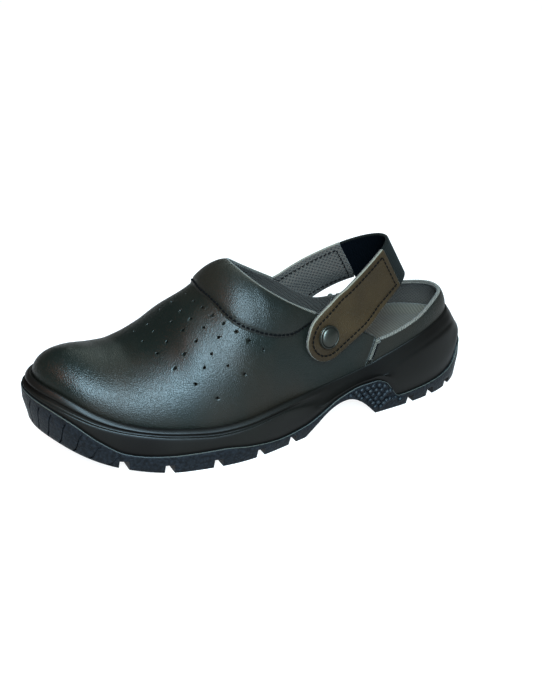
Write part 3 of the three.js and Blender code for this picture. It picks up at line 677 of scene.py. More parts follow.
def crease_edges(piece: bpy.types.Object, degrees: float) -> None:
    """Keeps edges sharper than an angle crisp in a smoothly shaded piece."""
    piece.data.set_sharp_from_angle(angle=math.radians(degrees))


def set_down(piece: bpy.types.Object, slot: str, *nodes: str) -> bpy.types.Object:
    """Attaches a piece to the root body and hides the CAD nodes that it stands for.

    Args:
        piece: the finished object.
        slot: not used.
        nodes: CAD nodes that it replaces.

    Returns:
        The same object.
    """
    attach(piece, "root")
    if nodes:
        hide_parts(*nodes)
    LOG.info("%s: %d faces", piece.name, len(piece.data.polygons))
    return piece


def resample(path: Array, pitch: float) -> tuple[Array, Array]:
    """Even places along a path.

    Args:
        path: points along the path.
        pitch: distance between places.

    Returns:
        Share of the path's points at each place, as indices with fractions, and the distances.
    """
    run = np.concatenate([[0.0], np.cumsum(np.linalg.norm(np.diff(path, axis=0), axis=-1))])
    count = max(int(run[-1] // pitch), 1)
    at = (np.arange(count) + 0.5) * (run[-1] / count)
    return np.interp(at, run, np.arange(len(path))), at


def at_shares(values: Array, places: Array) -> Array:
    """Rows of values at indices with fractions."""
    index = np.arange(len(values))
    return np.stack([np.interp(places, index, values[:, k]) for k in range(values.shape[1])], axis=-1)


@dataclass(frozen=True)
class StitchRun:
    """A run of sewn stitches: each is a short rounded bar of thread along the path."""

    pitch: float = 3.4
    length: float = 2.5
    radius: float = 0.42
    sink: float = 0.12

    def add(self, parts: MeshParts, path: Array, normals: Array) -> None:
        """Adds the bars: rings of six points round the thread, small at both ends.

        Args:
            parts: the mesh that they are collected in.
            path: points on the surface along the seam.
            normals: the surface's normals at those points.
        """
        places, _ = resample(path, self.pitch)
        centre = at_shares(path, places)
        up = unit(at_shares(normals, places))
        run = unit(at_shares(path, places + 0.4) - at_shares(path, places - 0.4))
        side = unit(np.cross(up, run))
        ends = np.array([-1.0, -0.86, -0.45, 0.0, 0.45, 0.86, 1.0])
        thick = np.sqrt(np.clip(1 - ends ** 2, 0.0, 1.0)) * 0.35 + 0.65
        thick[[0, -1]] = 0.05
        dip = self.radius - self.sink - 0.6 * self.radius * ends ** 4
        turn = np.linspace(0, 2 * np.pi, 7)
        for k in range(len(centre)):
            line = centre[k] + run[k] * (ends[:, None] * self.length / 2) + up[k] * dip[:, None]
            ring = side[k] * np.cos(turn)[:, None] + up[k] * np.sin(turn)[:, None]
            bar = line[:, None] + ring[None] * (self.radius * thick)[:, None, None]
            parts.grid(bar)


def tube(parts: MeshParts, path: Array, across: Array, up: Array, wide: float, high: float,
         sides: int = 12, ripple: Array | None = None, slot: int = 0) -> None:
    """Adds an oval cord along a path: path + across w cos + up h sin.

    Args:
        parts: the mesh that it is collected in.
        path: points along the cord's middle.
        across: unit vectors for the oval's first axis.
        up: unit vectors for its second axis.
        wide: half width on the first axis.
        high: half width on the second.
        sides: faces round it.
        ripple: factor on both half widths at each point.
        slot: material slot.
    """
    turn = np.linspace(0, 2 * np.pi, sides + 1)
    size = np.ones(len(path)) if ripple is None else ripple
    size = size.copy()
    size[[0, -1]] = 0.02
    oval = (across[:, None] * (wide * np.cos(turn))[None, :, None]
            + up[:, None] * (high * np.sin(turn))[None, :, None])
    parts.grid(path[:, None] + oval * size[:, None, None], slot=slot)


def linear(code: str) -> tuple[float, float, float, float]:
    """An sRGB hex colour as linear red, green, blue and alpha."""
    parts = [int(code[i:i + 2], 16) / 255 for i in (1, 3, 5)]
    bright = [p / 12.92 if p <= 0.04045 else ((p + 0.055) / 1.055) ** 2.4 for p in parts]
    return (*bright, 1.0)


def add(tree: bpy.types.NodeTree, kind: str, values: dict | None = None, **settings) -> bpy.types.Node:
    """Adds a node: values set its sockets or link them, settings set its properties.

    Args:
        tree: the material's nodes.
        kind: the node's type name, without its ShaderNode prefix.
        values: socket name or number to a value, or to a (node, output) pair to link.
        settings: properties of the node.

    Returns:
        The new node.
    """
    node = tree.nodes.new("ShaderNode" + kind)
    for key, value in settings.items():
        setattr(node, key, value)
    for key, value in (values or {}).items():
        if isinstance(value, tuple) and isinstance(value[0], bpy.types.Node):
            tree.links.new(value[0].outputs[value[1]], node.inputs[key])
        else:
            node.inputs[key].default_value = value
    return node


def ramp(tree: bpy.types.NodeTree, source: tuple, stops: list[tuple[float, str]]) -> tuple:
    """A colour ramp over hex colours, as its node and output.

    Args:
        tree: the material's nodes.
        source: node and output that drive it.
        stops: place and colour of each stop.

    Returns:
        The ramp's node and output.
    """
    node = add(tree, "ValToRGB", {"Fac": source})
    band = node.color_ramp
    while len(band.elements) < len(stops):
        band.elements.new(1.0)
    for element, (place, code) in zip(band.elements, stops):
        element.position = place
        element.color = linear(code)
    return node, "Color"


class Coordinates(Enum):
    """What a pattern follows."""

    OBJECT = "Object"
    SURFACE = "UV"


@dataclass(frozen=True)
class Finish:
    """Base of the finishes: a name, a colour and a typical gloss."""

    name: str
    colour: str
    roughness: float = 0.5

    def start(self) -> tuple[bpy.types.Material, bpy.types.NodeTree, bpy.types.Node]:
        """Makes an empty material with one Principled shader.

        Returns:
            The material, its nodes and the shader.
        """
        material = bpy.data.materials.new(self.name)
        material.use_nodes = True
        tree = material.node_tree
        tree.nodes.clear()
        shader = add(tree, "BsdfPrincipled", {
            "Base Color": linear(self.colour),
            "Roughness": self.roughness,
        })
        add(tree, "OutputMaterial", {"Surface": (shader, "BSDF")})
        return material, tree, shader

    @staticmethod
    def feed(tree: bpy.types.NodeTree, shader: bpy.types.Node, socket: str, source: tuple) -> None:
        """Links a node's output to one of the shader's sockets."""
        tree.links.new(source[0].outputs[source[1]], shader.inputs[socket])

    @staticmethod
    def soften(shader: bpy.types.Node, sheen: float, specular: float) -> None:
        """Gives a cloth its sheen and its low gloss.

        Args:
            shader: the material's shader.
            sheen: weight of the sheen.
            specular: specular level.
        """
        shader.inputs["Sheen Weight"].default_value = sheen
        shader.inputs["Sheen Roughness"].default_value = 0.5
        shader.inputs["Specular IOR Level"].default_value = specular

    @staticmethod
    def place(tree: bpy.types.NodeTree, follows: Coordinates) -> tuple:
        """Object or surface coordinates, as node and output."""
        return add(tree, "TexCoord"), follows.value


@dataclass(frozen=True)
class Leather(Finish):
    """Corrected-grain cowhide with a pigmented satin finish, pressed with a fine pebble grain."""

    warm: str = "#1d1811"
    grain: float = 1.2
    depth: float = 0.15
    specular: float = 0.26

    def material(self) -> bpy.types.Material:
        """Pebble cells with fine pores, and slow shifts between a cool and a warm black.

        Returns:
            The material.
        """
        material, tree, shader = self.start()
        where = self.place(tree, Coordinates.OBJECT)
        slow = add(tree, "TexNoise", {"Vector": where, "Scale": 22.0, "Detail": 2.0})
        tint = ramp(tree, (slow, "Fac"), [(0.38, self.colour), (0.66, self.warm)])
        self.feed(tree, shader, "Base Color", tint)
        cell = 1000 / self.grain
        bend = add(tree, "TexNoise", {"Vector": where, "Scale": cell * 0.6, "Detail": 1.0})
        spread = add(tree, "VectorMath", {0: (bend, "Color"), 1: (0.0006,) * 3}, operation="MULTIPLY")
        moved = add(tree, "VectorMath", {0: where, 1: (spread, "Vector")})
        cells = add(tree, "TexVoronoi", {"Vector": (moved, "Vector"), "Scale": cell},
                    feature="DISTANCE_TO_EDGE")
        pebble = add(tree, "MapRange", {"Value": (cells, "Distance"), "From Max": 0.32},
                     interpolation_type="SMOOTHSTEP")
        fine = add(tree, "TexNoise", {"Vector": where, "Scale": cell * 3.2, "Detail": 2.0})
        height = add(tree, "Math", {0: (fine, "Fac"), 1: 0.35, 2: (pebble, "Result")},
                     operation="MULTIPLY_ADD")
        bump = add(tree, "Bump", {"Height": (height, "Value"), "Strength": 0.55,
                                  "Distance": self.depth * MM})
        self.feed(tree, shader, "Normal", (bump, "Normal"))
        gloss = add(tree, "MapRange", {"Value": (slow, "Fac"), "From Min": 0.35, "From Max": 0.7,
                                       "To Min": self.roughness - 0.05, "To Max": self.roughness + 0.07})
        self.feed(tree, shader, "Roughness", (gloss, "Result"))
        shader.inputs["Specular IOR Level"].default_value = self.specular
        return material


@dataclass(frozen=True)
class Moulded(Finish):
    """Polyurethane or rubber from a mould: a smooth skin with a fine spark-eroded texture."""

    warm: str = "#110f0c"
    stipple: float = 0.9
    depth: float = 0.05
    mottle_and_pit_shade: float = 0.1
    specular: float = 0.16

    def material(self) -> bpy.types.Material:
        """Fine stipple on a satin skin, slightly warmer and duller where it was handled; with a large grit
        share the tone follows the stipple, as painted shade in its pits and lighter tops.

        Returns:
            The material.
        """
        material, tree, shader = self.start()
        where = self.place(tree, Coordinates.OBJECT)
        slow = add(tree, "TexNoise", {"Vector": where, "Scale": 16.0, "Detail": 3.0})
        grit = add(tree, "TexNoise", {"Vector": where, "Scale": 1000 / self.stipple, "Detail": 2.0})
        # The grit's share of the tone paints shade into the stipple's pits and lightens its tops
        level = add(tree, "Mix", {0: self.mottle_and_pit_shade, 2: (slow, "Fac"), 3: (grit, "Fac")}, data_type="FLOAT")
        tint = ramp(tree, (level, 0), [(0.4, self.colour), (0.7, self.warm)])
        self.feed(tree, shader, "Base Color", tint)
        bump = add(tree, "Bump", {"Height": (grit, "Fac"), "Strength": 0.5,
                                  "Distance": self.depth * MM})
        self.feed(tree, shader, "Normal", (bump, "Normal"))
        gloss = add(tree, "MapRange", {"Value": (level, 0), "From Min": 0.3, "From Max": 0.7,
                                       "To Min": self.roughness - 0.05, "To Max": self.roughness + 0.08})
        self.feed(tree, shader, "Roughness", (gloss, "Result"))
        shader.inputs["Specular IOR Level"].default_value = self.specular
        return material


@dataclass(frozen=True)
class MeshLining(Finish):
    """Knitted polyester spacer mesh: a soft grey face with a regular grid of open cells."""

    dark: str = "#2b2a2b"
    pitch: float = 2.1
    opening: float = 0.3
    sheen: float = 0.1
    specular: float = 0.08

    def material(self) -> bpy.types.Material:
        """Diagonal rows of round openings, worked out as the distance to the nearest cell's middle.

        Returns:
            The material.
        """
        material, tree, shader = self.start()
        where = self.place(tree, Coordinates.SURFACE)
        turned = add(tree, "Mapping", {"Vector": where, "Rotation": (0.0, 0.0, math.radians(45))})
        cells = add(tree, "TexVoronoi", {"Vector": (turned, "Vector"), "Scale": 1000 / self.pitch,
                                         "Randomness": 0.12}, voronoi_dimensions="2D")
        face = add(tree, "MapRange", {"Value": (cells, "Distance"), "From Min": self.opening - 0.1,
                                      "From Max": self.opening + 0.12},
                   interpolation_type="SMOOTHSTEP")
        yarn = add(tree, "TexNoise", {"Vector": where, "Scale": 2600.0, "Detail": 2.0})
        shade = add(tree, "Math", {0: (yarn, "Fac"), 1: 0.5, 2: 0.72}, operation="MULTIPLY_ADD")
        level = add(tree, "Math", {0: (face, "Result"), 1: (shade, "Value")}, operation="MULTIPLY")
        self.feed(tree, shader, "Base Color",
                  ramp(tree, (level, "Value"), [(0.0, self.dark), (1.0, self.colour)]))
        bump = add(tree, "Bump", {"Height": (level, "Value"), "Strength": 0.8, "Distance": 0.3 * MM})
        self.feed(tree, shader, "Normal", (bump, "Normal"))
        self.soften(shader, self.sheen, self.specular)
        return material


@dataclass(frozen=True)
class Ribbed(Finish):
    """Yarn laid in ribs, as in webbing, a knitted binding or a needled footbed cover."""

    dark: str = "#0a0d12"
    pitch: float = 1.2
    angle: float = 0.0
    depth: float = 0.25
    fuzz: float = 0.3
    sheen: float = 0.1
    specular: float = 0.08

    def waves_per_metre(self) -> float:
        """Wave Texture's scale for the pitch: its phase is 20 times scale times place."""
        return 1000 / self.pitch * 2 * math.pi / 20

    def material(self) -> bpy.types.Material:
        """Sine ribs across the surface map, broken up by fine yarn noise.

        Returns:
            The material.
        """
        material, tree, shader = self.start()
        where = self.place(tree, Coordinates.SURFACE)
        turned = add(tree, "Mapping", {"Vector": where, "Rotation": (0.0, 0.0, math.radians(self.angle))})
        ribs = add(tree, "TexWave", {"Vector": (turned, "Vector"), "Scale": self.waves_per_metre(),
                                     "Distortion": 1.2, "Detail": 1.0, "Detail Scale": 2.0})
        yarn = add(tree, "TexNoise", {"Vector": where, "Scale": 1800.0, "Detail": 3.0})
        level = add(tree, "Mix", {0: self.fuzz, 2: (ribs, "Fac"), 3: (yarn, "Fac")}, data_type="FLOAT")
        self.feed(tree, shader, "Base Color",
                  ramp(tree, (level, 0), [(0.15, self.dark), (0.85, self.colour)]))
        bump = add(tree, "Bump", {"Height": (level, 0), "Strength": 0.7, "Distance": self.depth * MM})
        self.feed(tree, shader, "Normal", (bump, "Normal"))
        self.soften(shader, self.sheen, self.specular)
        return material


@dataclass(frozen=True)
class Metal(Finish):
    """Steel cap with a gunmetal lacquer, drawn and tumbled."""

    def material(self) -> bpy.types.Material:
        """A dark metal with faint swirls in its gloss.

        Returns:
            The material.
        """
        material, tree, shader = self.start()
        where = self.place(tree, Coordinates.OBJECT)
        haze = add(tree, "TexNoise", {"Vector": where, "Scale": 420.0, "Detail": 3.0})
        gloss = add(tree, "MapRange", {"Value": (haze, "Fac"), "To Min": self.roughness - 0.08,
                                       "To Max": self.roughness + 0.1})
        self.feed(tree, shader, "Roughness", (gloss, "Result"))
        shader.inputs["Metallic"].default_value = 0.75
        return material


@dataclass(frozen=True)
class Thread(Finish):
    """Bonded polyester sewing thread, three strands twisted."""

    def material(self) -> bpy.types.Material:
        """A dull yarn with a fine fleck.

        Returns:
            The material.
        """
        material, tree, shader = self.start()
        where = self.place(tree, Coordinates.OBJECT)
        fleck = add(tree, "TexNoise", {"Vector": where, "Scale": 2200.0, "Detail": 2.0})
        bump = add(tree, "Bump", {"Height": (fleck, "Fac"), "Strength": 0.6, "Distance": 0.1 * MM})
        self.feed(tree, shader, "Normal", (bump, "Normal"))
        shader.inputs["Specular IOR Level"].default_value = 0.08
        return material


class Wardrobe:
    """Every finish of the sandal, made once."""

    def __init__(self) -> None:
        """Builds the materials."""
        # Cowhide with a satin black pigment: an olive brown black away from the light
        self.leather = Leather("cowhide_black_satin", "#0b0f0c", 0.43, warm="#15110b").material()
        self.pad = Leather("cowhide_black_collar", "#0d0f0c", 0.47, warm="#14110b").material()
        # The same hide on the strap, worn browner and duller
        self.strap = Leather("cowhide_strap_olive", "#231a10", 0.5, warm="#302415", grain=1.3,
                             depth=0.24, specular=0.14).material()
        # Cut edge of the hide: pale chrome-tanned fibre
        self.raw_edge = Ribbed("cowhide_cut_edge", "#5e594f", 0.85, dark="#48433b", pitch=1.0,
                               depth=0.1, fuzz=0.8).material()
        # Expanded polyurethane with its moulded skin: satin and slightly warm
        self.foam = Moulded("polyurethane_moulded_skin", "#090706", 0.40).material()
        # Solid nitrile rubber: bluer and duller, with a coarser stipple, its tone following the stipple as
        # painted shade in the pits and lighter tops
        self.rubber = Moulded("nitrile_rubber_tread", "#040609", 0.5, warm="#15181c", stipple=1.7,
                              depth=0.9, mottle_and_pit_shade=0.9).material()
        # The mould's parting flash, in a pale colour that is a painted highlight along the raised line
        self.flash = Moulded("polyurethane_flash_line_painted_highlight", "#2f3131", 0.6, warm="#383730").material()
        # Spacer mesh in mid grey, inside the strap, and closer and darker inside the quarters
        self.mesh = MeshLining("polyester_spacer_mesh", "#403a35", 0.9, dark="#2c2826").material()
        self.lining = MeshLining("polyester_close_mesh", "#342f2b", 0.95, dark="#25211e",
                                 pitch=1.5).material()
        # Needled footbed cover: grey felt with a faint rib
        self.felt = Ribbed("needled_felt_grey", "#46423b", 0.95, dark="#2e2a25", pitch=1.9,
                           depth=0.12, fuzz=0.5).material()
        # Knitted edge binding: grey yarn laid slantwise
        self.binding = Ribbed("knitted_binding_grey", "#615a53", 0.95, dark="#17140f", pitch=1.1,
                              angle=35.0, depth=0.4, fuzz=0.65, sheen=0.1).material()
        self.piping = Ribbed("knitted_piping_grey", "#534e47", 0.95, dark="#201d19", pitch=0.9,
                             angle=35.0, depth=0.2, fuzz=0.5).material()
        # Rubber-cored elastic: a dusty blue grey outside and navy black inside, where the darker colour is
        # partly painted shade
        self.elastic = Ribbed("elastic_webbing_blue_black", "#11120f", 0.85, dark="#050605",
                              pitch=1.2, angle=90.0, depth=0.2, fuzz=0.35,
                              sheen=0.02).material()
        self.elastic_back_painted_shade = Ribbed("elastic_webbing_inside_painted_shade", "#04070b", 0.9, dark="#020407",
                                   pitch=1.5, depth=0.2, fuzz=0.3, sheen=0.0,
                                   specular=0.02).material()
        # Gunmetal lacquer on a drawn steel cap
        self.stud = Metal("steel_gunmetal_lacquer", "#302f2a", 0.33).material()
        # Black sewing thread
        self.thread = Thread("polyester_thread_black", "#030304", 0.9).material()


@dataclass
class Sole:
    """Outsole, midsole and insole."""

    wardrobe: Wardrobe
    stations: int = 420
    wrap: float = 4.0
    wrap_slope: float = 1.5
    proud: float = 0.8
    outsole_floor: float = 7.0
    arch_floor: float = 4.5
    insole_thickness: float = 5.0
    bed_dish: float = 3.0
    upper_wall: float = 2.4
    groove_width: float = 5.0
    groove_depth: float = 6.0
    groove_flare: float = 1.0
    channel_width: float = 4.0
    channel_depth: float = 4.0
    channel_spread: float = 16.0
    # Rounding of the outsole's lower edge: along the sides, and what toe and heel add to it
    edge_inset: float = 1.4
    toe_edge_inset: float = 4.6
    heel_edge_inset: float = 2.6
    edge_rise: float = 2.0
    toe_edge_rise: float = 5.0
    heel_edge_rise: float = 2.0
    toe_from: float = 0.86
    heel_to: float = 0.1
    # Slanted grooves of the toe bumper: first, last and step in degrees, and their section
    bumper_degrees: tuple[int, int, int] = (8, 45, 6)
    bumper_span: tuple[float, float] = (0.9, 0.12)
    bumper_lean: float = 0.1
    bumper_half: float = 0.35
    bumper_depth: float = 0.6
    bumper_clear: float = 2.0
    # Flash line and grip dots
    flash_half: tuple[float, float] = (0.34, 0.26)
    embed: float = 0.25
    dot_rows: int = 7
    dot_columns: int = 12
    dot_start: float = 60.5
    dot_pitch: float = 4.3
    dot_drop: float = 2.9
    dot_row_pitch: float = 3.0
    dot_half: tuple[float, float, float] = (2.25, 1.55, 1.6)
    dot_slant: float = 0.5
    dot_margin: float = 2.2
    dot_lowest: float = 4.5
    # Where the waist's plain wall turns into the forefoot's beads, and how far the beads hang down
    rolled_along: tuple[float, float] = (0.36, 0.52)
    bead_drop: float = 3.8
    toe_bead_drop: float = 2.7
    toe_bead_along: tuple[float, float] = (0.8, 0.98)

    def __post_init__(self) -> None:
        """Sets the angles of the stations round the outline."""
        self.angle = np.linspace(0, 2 * np.pi, self.stations, endpoint=False)
        self.along = (1 + np.cos(self.angle)) / 2

    def end_mix(self, along: Array, side: float, toe: float, heel: float) -> Array:
        """A size along the sides, with what toe and heel add to it eased in."""
        return side + toe * ease(self.toe_from, 1, along) + heel * ease(self.heel_to, 0, along)

    def inset(self, along: Array) -> Array:
        """How far the outsole's lower edge is rounded in, most at the toe."""
        return self.end_mix(along, self.edge_inset, self.toe_edge_inset, self.heel_edge_inset)

    def rise(self, along: Array) -> Array:
        """Height of that rounding."""
        return self.end_mix(along, self.edge_rise, self.toe_edge_rise, self.heel_edge_rise)

    def floor(self, along: Array) -> Array:
        """Height of the outsole's upper face."""
        deep = np.maximum(LAST.arch(along) + self.arch_floor, self.outsole_floor)
        return np.minimum(LAST.spring(along) + deep, LAST.parting(along))

    def side_points(self, angle: Array, share: Array) -> Array:
        """Side of the outsole: share 0 at its lower edge, 1 at the parting line.

        Args:
            angle: angles round the outline.
            share: way up the side at each angle.

        Returns:
            Points with x, y and z along the last axis.
        """
        along = (1 + np.cos(angle)) / 2
        inset, rise = self.inset(along), self.rise(along)
        low, top = LAST.spring(along), LAST.parting(along)
        middle = mix(low + rise, top, 0.6)
        knots = np.array([0.0, 0.35, 0.7, 1.0])
        grows = np.stack([-inset, -0.25 * inset, self.proud + 0 * inset, self.proud + 0 * inset])
        heights = np.stack([low, low + rise, middle, top])
        place = np.clip(np.searchsorted(knots, share, side="right") - 1, 0, 2)
        t = (share - knots[place]) / (knots[place + 1] - knots[place])
        pick = np.arange(len(angle))
        grow = mix(grows[place, pick], grows[place + 1, pick], t)
        height = mix(heights[place, pick], heights[place + 1, pick], t)
        return LAST.ring(angle, grow, height)

    def stack(self, parts: MeshParts, levels: list[tuple[Array, Array]], slot: int = 0) -> Array:
        """Adds rings of (grow, height) one over another.

        Args:
            parts: the mesh that it is collected in.
            levels: distance out from the outline and height of each ring.
            slot: material slot of the faces.

        Returns:
            The rings' points, stations by rings by 3.
        """
        grid = np.stack([LAST.ring(self.angle, g, h) for g, h in levels], axis=1)
        parts.grid(grid, wrap=True, slot=slot)
        return grid

    @staticmethod
    def lid(parts: MeshParts, ring: Array, flip: bool, steps: int = 24, sink: float = 0.0) -> None:
        """Closes a ring by rungs from its outer to its inner side, each cut into equal steps.

        Args:
            parts: the mesh that it is collected in.
            ring: points of the ring, an even number of them.
            flip: turns the faces over.
            steps: faces along a rung.
            sink: depth of a dish that is reached 13 mm in from the ring.
        """
        half = len(ring) // 2
        near = ring[: half + 1]
        far = np.concatenate([ring[:1], ring[::-1][:half]])
        share = np.linspace(0, 1, steps + 1)[None, :, None]
        points = near[:, None] + (far - near)[:, None] * share
        width = np.linalg.norm(far - near, axis=-1)[:, None]
        depth = np.minimum(share[..., 0], 1 - share[..., 0]) * width
        ends = np.minimum(points[..., 0] - ring[:, 0].min(), ring[:, 0].max() - points[..., 0])
        points[..., 2] -= sink * ease(0, 13, np.minimum(depth, ends))
        parts.grid(points, flip=flip, uv=points[..., :2])

    def outsole(self) -> bpy.types.Object:
        """Rubber tread: the body's rings, with the waist, grooves and channels cut out of it.

        Returns:
            The tread.
        """
        parts = MeshParts()
        s = self.along
        inset, rise, low, top = self.inset(s), self.rise(s), LAST.spring(s), LAST.parting(s)
        levels = []
        for t in np.linspace(0, 1, 5):
            turn = t * np.pi / 2
            levels.append((-inset + 0.75 * inset * np.sin(turn), low + rise * (1 - np.cos(turn))))
        middle = mix(low + rise, top, 0.6)
        levels += [(self.proud + 0 * s, middle), (self.proud + 0 * s, top - 0.35),
                   (self.proud - 0.35 + 0 * s, top), (-self.wrap + 0 * s, top),
                   (-self.wrap - self.wrap_slope + 0 * s, self.floor(s))]
        grid = self.stack(parts, levels)
        self.lid(parts, grid[:, 0], flip=True)
        self.lid(parts, grid[:, -1], flip=False)
        piece = parts.build("outsole_tread", [self.wardrobe.rubber])
        for tool in self.cutters():
            cut(piece, tool)
        weld(piece.data)
        crease_edges(piece, 32)
        return set_down(piece, "outsole", "outsole")

    def cutters(self) -> list[bpy.types.Object]:
        """What the tread is cut with: closed prisms, in sets whose members don't touch.

        Returns:
            Waist and cross grooves, channels, and the bumper's grooves.
        """
        wide = LAST.ball_width
        crossing = MeshParts()
        along = np.linspace(LAST.heel_breast, LAST.tread_back, 61)
        self.prism(crossing, along * LAST.length, LAST.arch(along) + 1e-3, -wide, wide)
        half = self.groove_width / 2
        for place in GROOVES_ALONG:
            top = float(LAST.spring(np.array(place))) + self.groove_depth
            self.slot_prism(crossing, place * LAST.length, half, half + self.groove_flare, top, wide)
        channels = MeshParts()
        middle = float(LAST.shift(np.array(LAST.spring_start))) * wide
        heel = float(LAST.shift(np.array(0.12))) * wide
        half = self.channel_width / 2
        for start, end, offset in ((0.49, 0.86, middle + self.channel_spread),
                                   (0.49, 0.86, middle - self.channel_spread), (0.12, 0.24, heel)):
            along = np.linspace(start, end, 31)
            top = LAST.spring(along) + self.channel_depth
            self.prism(channels, along * LAST.length, top, offset - half, offset + half)
        bumper = MeshParts()
        for degrees in range(*self.bumper_degrees):
            for side in (1, -1):
                self.toe_groove(bumper, side * math.radians(degrees), side)
        return [outward(parts.build("tread_cutter", [])) for parts in (crossing, channels, bumper)]

    @staticmethod
    def prism(parts: MeshParts, x: Array, top: Array, low: float, high: float) -> None:
        """A prism from far below the floor to a top line over x, between two values of y.

        Args:
            parts: the mesh that it is collected in.
            x: places along the shoe.
            top: height of the prism over each place.
            low: its y on one side.
            high: its y on the other.
        """
        deep = -30.0
        rows = []
        for y, z in ((low, deep + 0 * x), (low, top), (high, top), (high, deep + 0 * x), (low, deep + 0 * x)):
            rows.append(np.stack([x, y + 0 * x, z], axis=-1))
        parts.grid(np.stack(rows, axis=1))
        for end in (0, -1):
            corner = [rows[k][end] for k in range(4)]
            parts.grid(np.array([[corner[0], corner[3]], [corner[1], corner[2]]]), flip=end == 0)

    def slot_prism(self, parts: MeshParts, x: float, half: float, foot: float, top: float,
                   wide: float) -> None:
        """A cross groove with flared sides.

        Args:
            parts: the mesh that it is collected in.
            x: middle of the groove.
            half: half its width at the top.
            foot: half its width at the foot.
            top: height of its top.
            wide: how far it reaches to each side.
        """
        deep = -self.groove_depth
        ends = []
        for y in (-wide, wide):
            corners = [(x - foot, y, deep), (x - half, y, top), (x + half, y, top), (x + foot, y, deep)]
            ends.append(np.array(corners))
        loop = np.stack([np.concatenate([end, end[:1]]) for end in ends])
        parts.grid(loop)
        for end, turn in ((ends[0], False), (ends[1], True)):
            parts.grid(np.array([[end[0], end[3]], [end[1], end[2]]]), flip=turn)

    def toe_groove(self, parts: MeshParts, angle: float, side: int) -> None:
        """A shallow slanted groove down the toe bumper: a bent bar sunk into the side.

        Args:
            parts: the mesh that it is collected in.
            angle: angle of its upper end.
            side: 1 for the outer side and -1 for the inner.
        """
        share = np.linspace(*self.bumper_span, 9)
        angles = angle - side * self.bumper_lean * (self.bumper_span[0] - share)
        line = self.side_points(angles, share)
        out = unit(np.stack([np.cos(angles), np.sin(angles), 0 * angles], axis=-1))
        run = unit(np.gradient(line, axis=0))
        across = unit(np.cross(run, out))
        half, depth, clear = self.bumper_half, self.bumper_depth, self.bumper_clear
        corners = [line - across * half - out * depth, line + across * half - out * depth,
                   line + across * half * 1.6 + out * clear, line - across * half * 1.6 + out * clear]
        loop = np.stack([*corners, corners[0]], axis=1)
        parts.grid(loop)
        for end in (0, -1):
            c = [corner[end] for corner in corners]
            parts.grid(np.array([[c[0], c[1]], [c[3], c[2]]]), flip=end == 0)

    def parting_flash(self) -> None:
        """The thin raised line that the mould leaves where the two layers meet."""
        angle = np.linspace(0, 2 * np.pi, 1400)
        along = (1 + np.cos(angle)) / 2
        path = LAST.ring(angle, self.proud - self.embed, LAST.parting(along) + 0.1)
        ahead = unit(np.gradient(path, axis=0))
        out = unit(np.stack([ahead[:, 1], -ahead[:, 0], 0 * angle], axis=-1))
        parts = MeshParts()
        tube(parts, path, out, unit(np.cross(ahead, out)), *self.flash_half, 6)
        # The flash line's pale material is a painted highlight along the ridge
        set_down(parts.build("parting_flash_line", [self.wardrobe.flash]), "midsole")

    def waist_dots(self) -> bpy.types.Object:
        """Oval grip dots on the outsole's side at the waist, in offset rows on both sides.

        Returns:
            The dots, as one piece.
        """
        parts = MeshParts()
        turn = np.linspace(0, 2 * np.pi, 9)
        rise = np.linspace(0, np.pi / 2, 4)
        for side in (1, -1):
            for row in range(self.dot_rows):
                for column in range(self.dot_columns):
                    x = self.dot_start + self.dot_pitch * (column + 0.5 * (row % 2))
                    along = x / LAST.length
                    z = float(LAST.parting(np.array(along))) - self.dot_drop - self.dot_row_pitch * row
                    if z < max(float(LAST.arch(np.array(along))) + self.dot_margin, self.dot_lowest):
                        continue
                    angle = side * math.acos(2 * along - 1)
                    base = LAST.ring(np.array(angle), self.proud - self.embed, z)
                    ahead, here = (LAST.ring(np.array(angle + step), 0.0, z) for step in (0.01, 0.0))
                    ahead = unit(ahead - here)
                    out = np.array([ahead[1], -ahead[0], 0.0])
                    lay = ahead * math.cos(self.dot_slant) + UP * math.sin(self.dot_slant)
                    high = np.cross(lay, out)
                    long, short, proud = self.dot_half
                    dome = (lay * (long * np.cos(rise))[:, None, None] * np.cos(turn)[None, :, None]
                            + high * (short * np.cos(rise))[:, None, None] * np.sin(turn)[None, :, None]
                            + out * (proud * np.sin(rise))[:, None, None])
                    parts.grid((base + dome).transpose(1, 0, 2))
        return set_down(parts.build("waist_grip_dots", [self.wardrobe.rubber]), "outsole")

    def midsole(self) -> bpy.types.Object:
        """Moulded wall: a smooth line through (grow, height) knots, mixed from a plain waist
        profile and a forefoot profile with a rolled bead, a groove and a ledge.

        Returns:
            The midsole.
        """
        parts = MeshParts()
        s = self.along
        c = LAST.clearance
        edge, parting, lip = LAST.edge(s), LAST.parting(s), LAST.lip_inset(s)
        rolled = ease(*self.rolled_along, s)
        drop = self.bead_drop + self.toe_bead_drop * ease(*self.toe_bead_along, s)
        lean = lip / LAST.lip
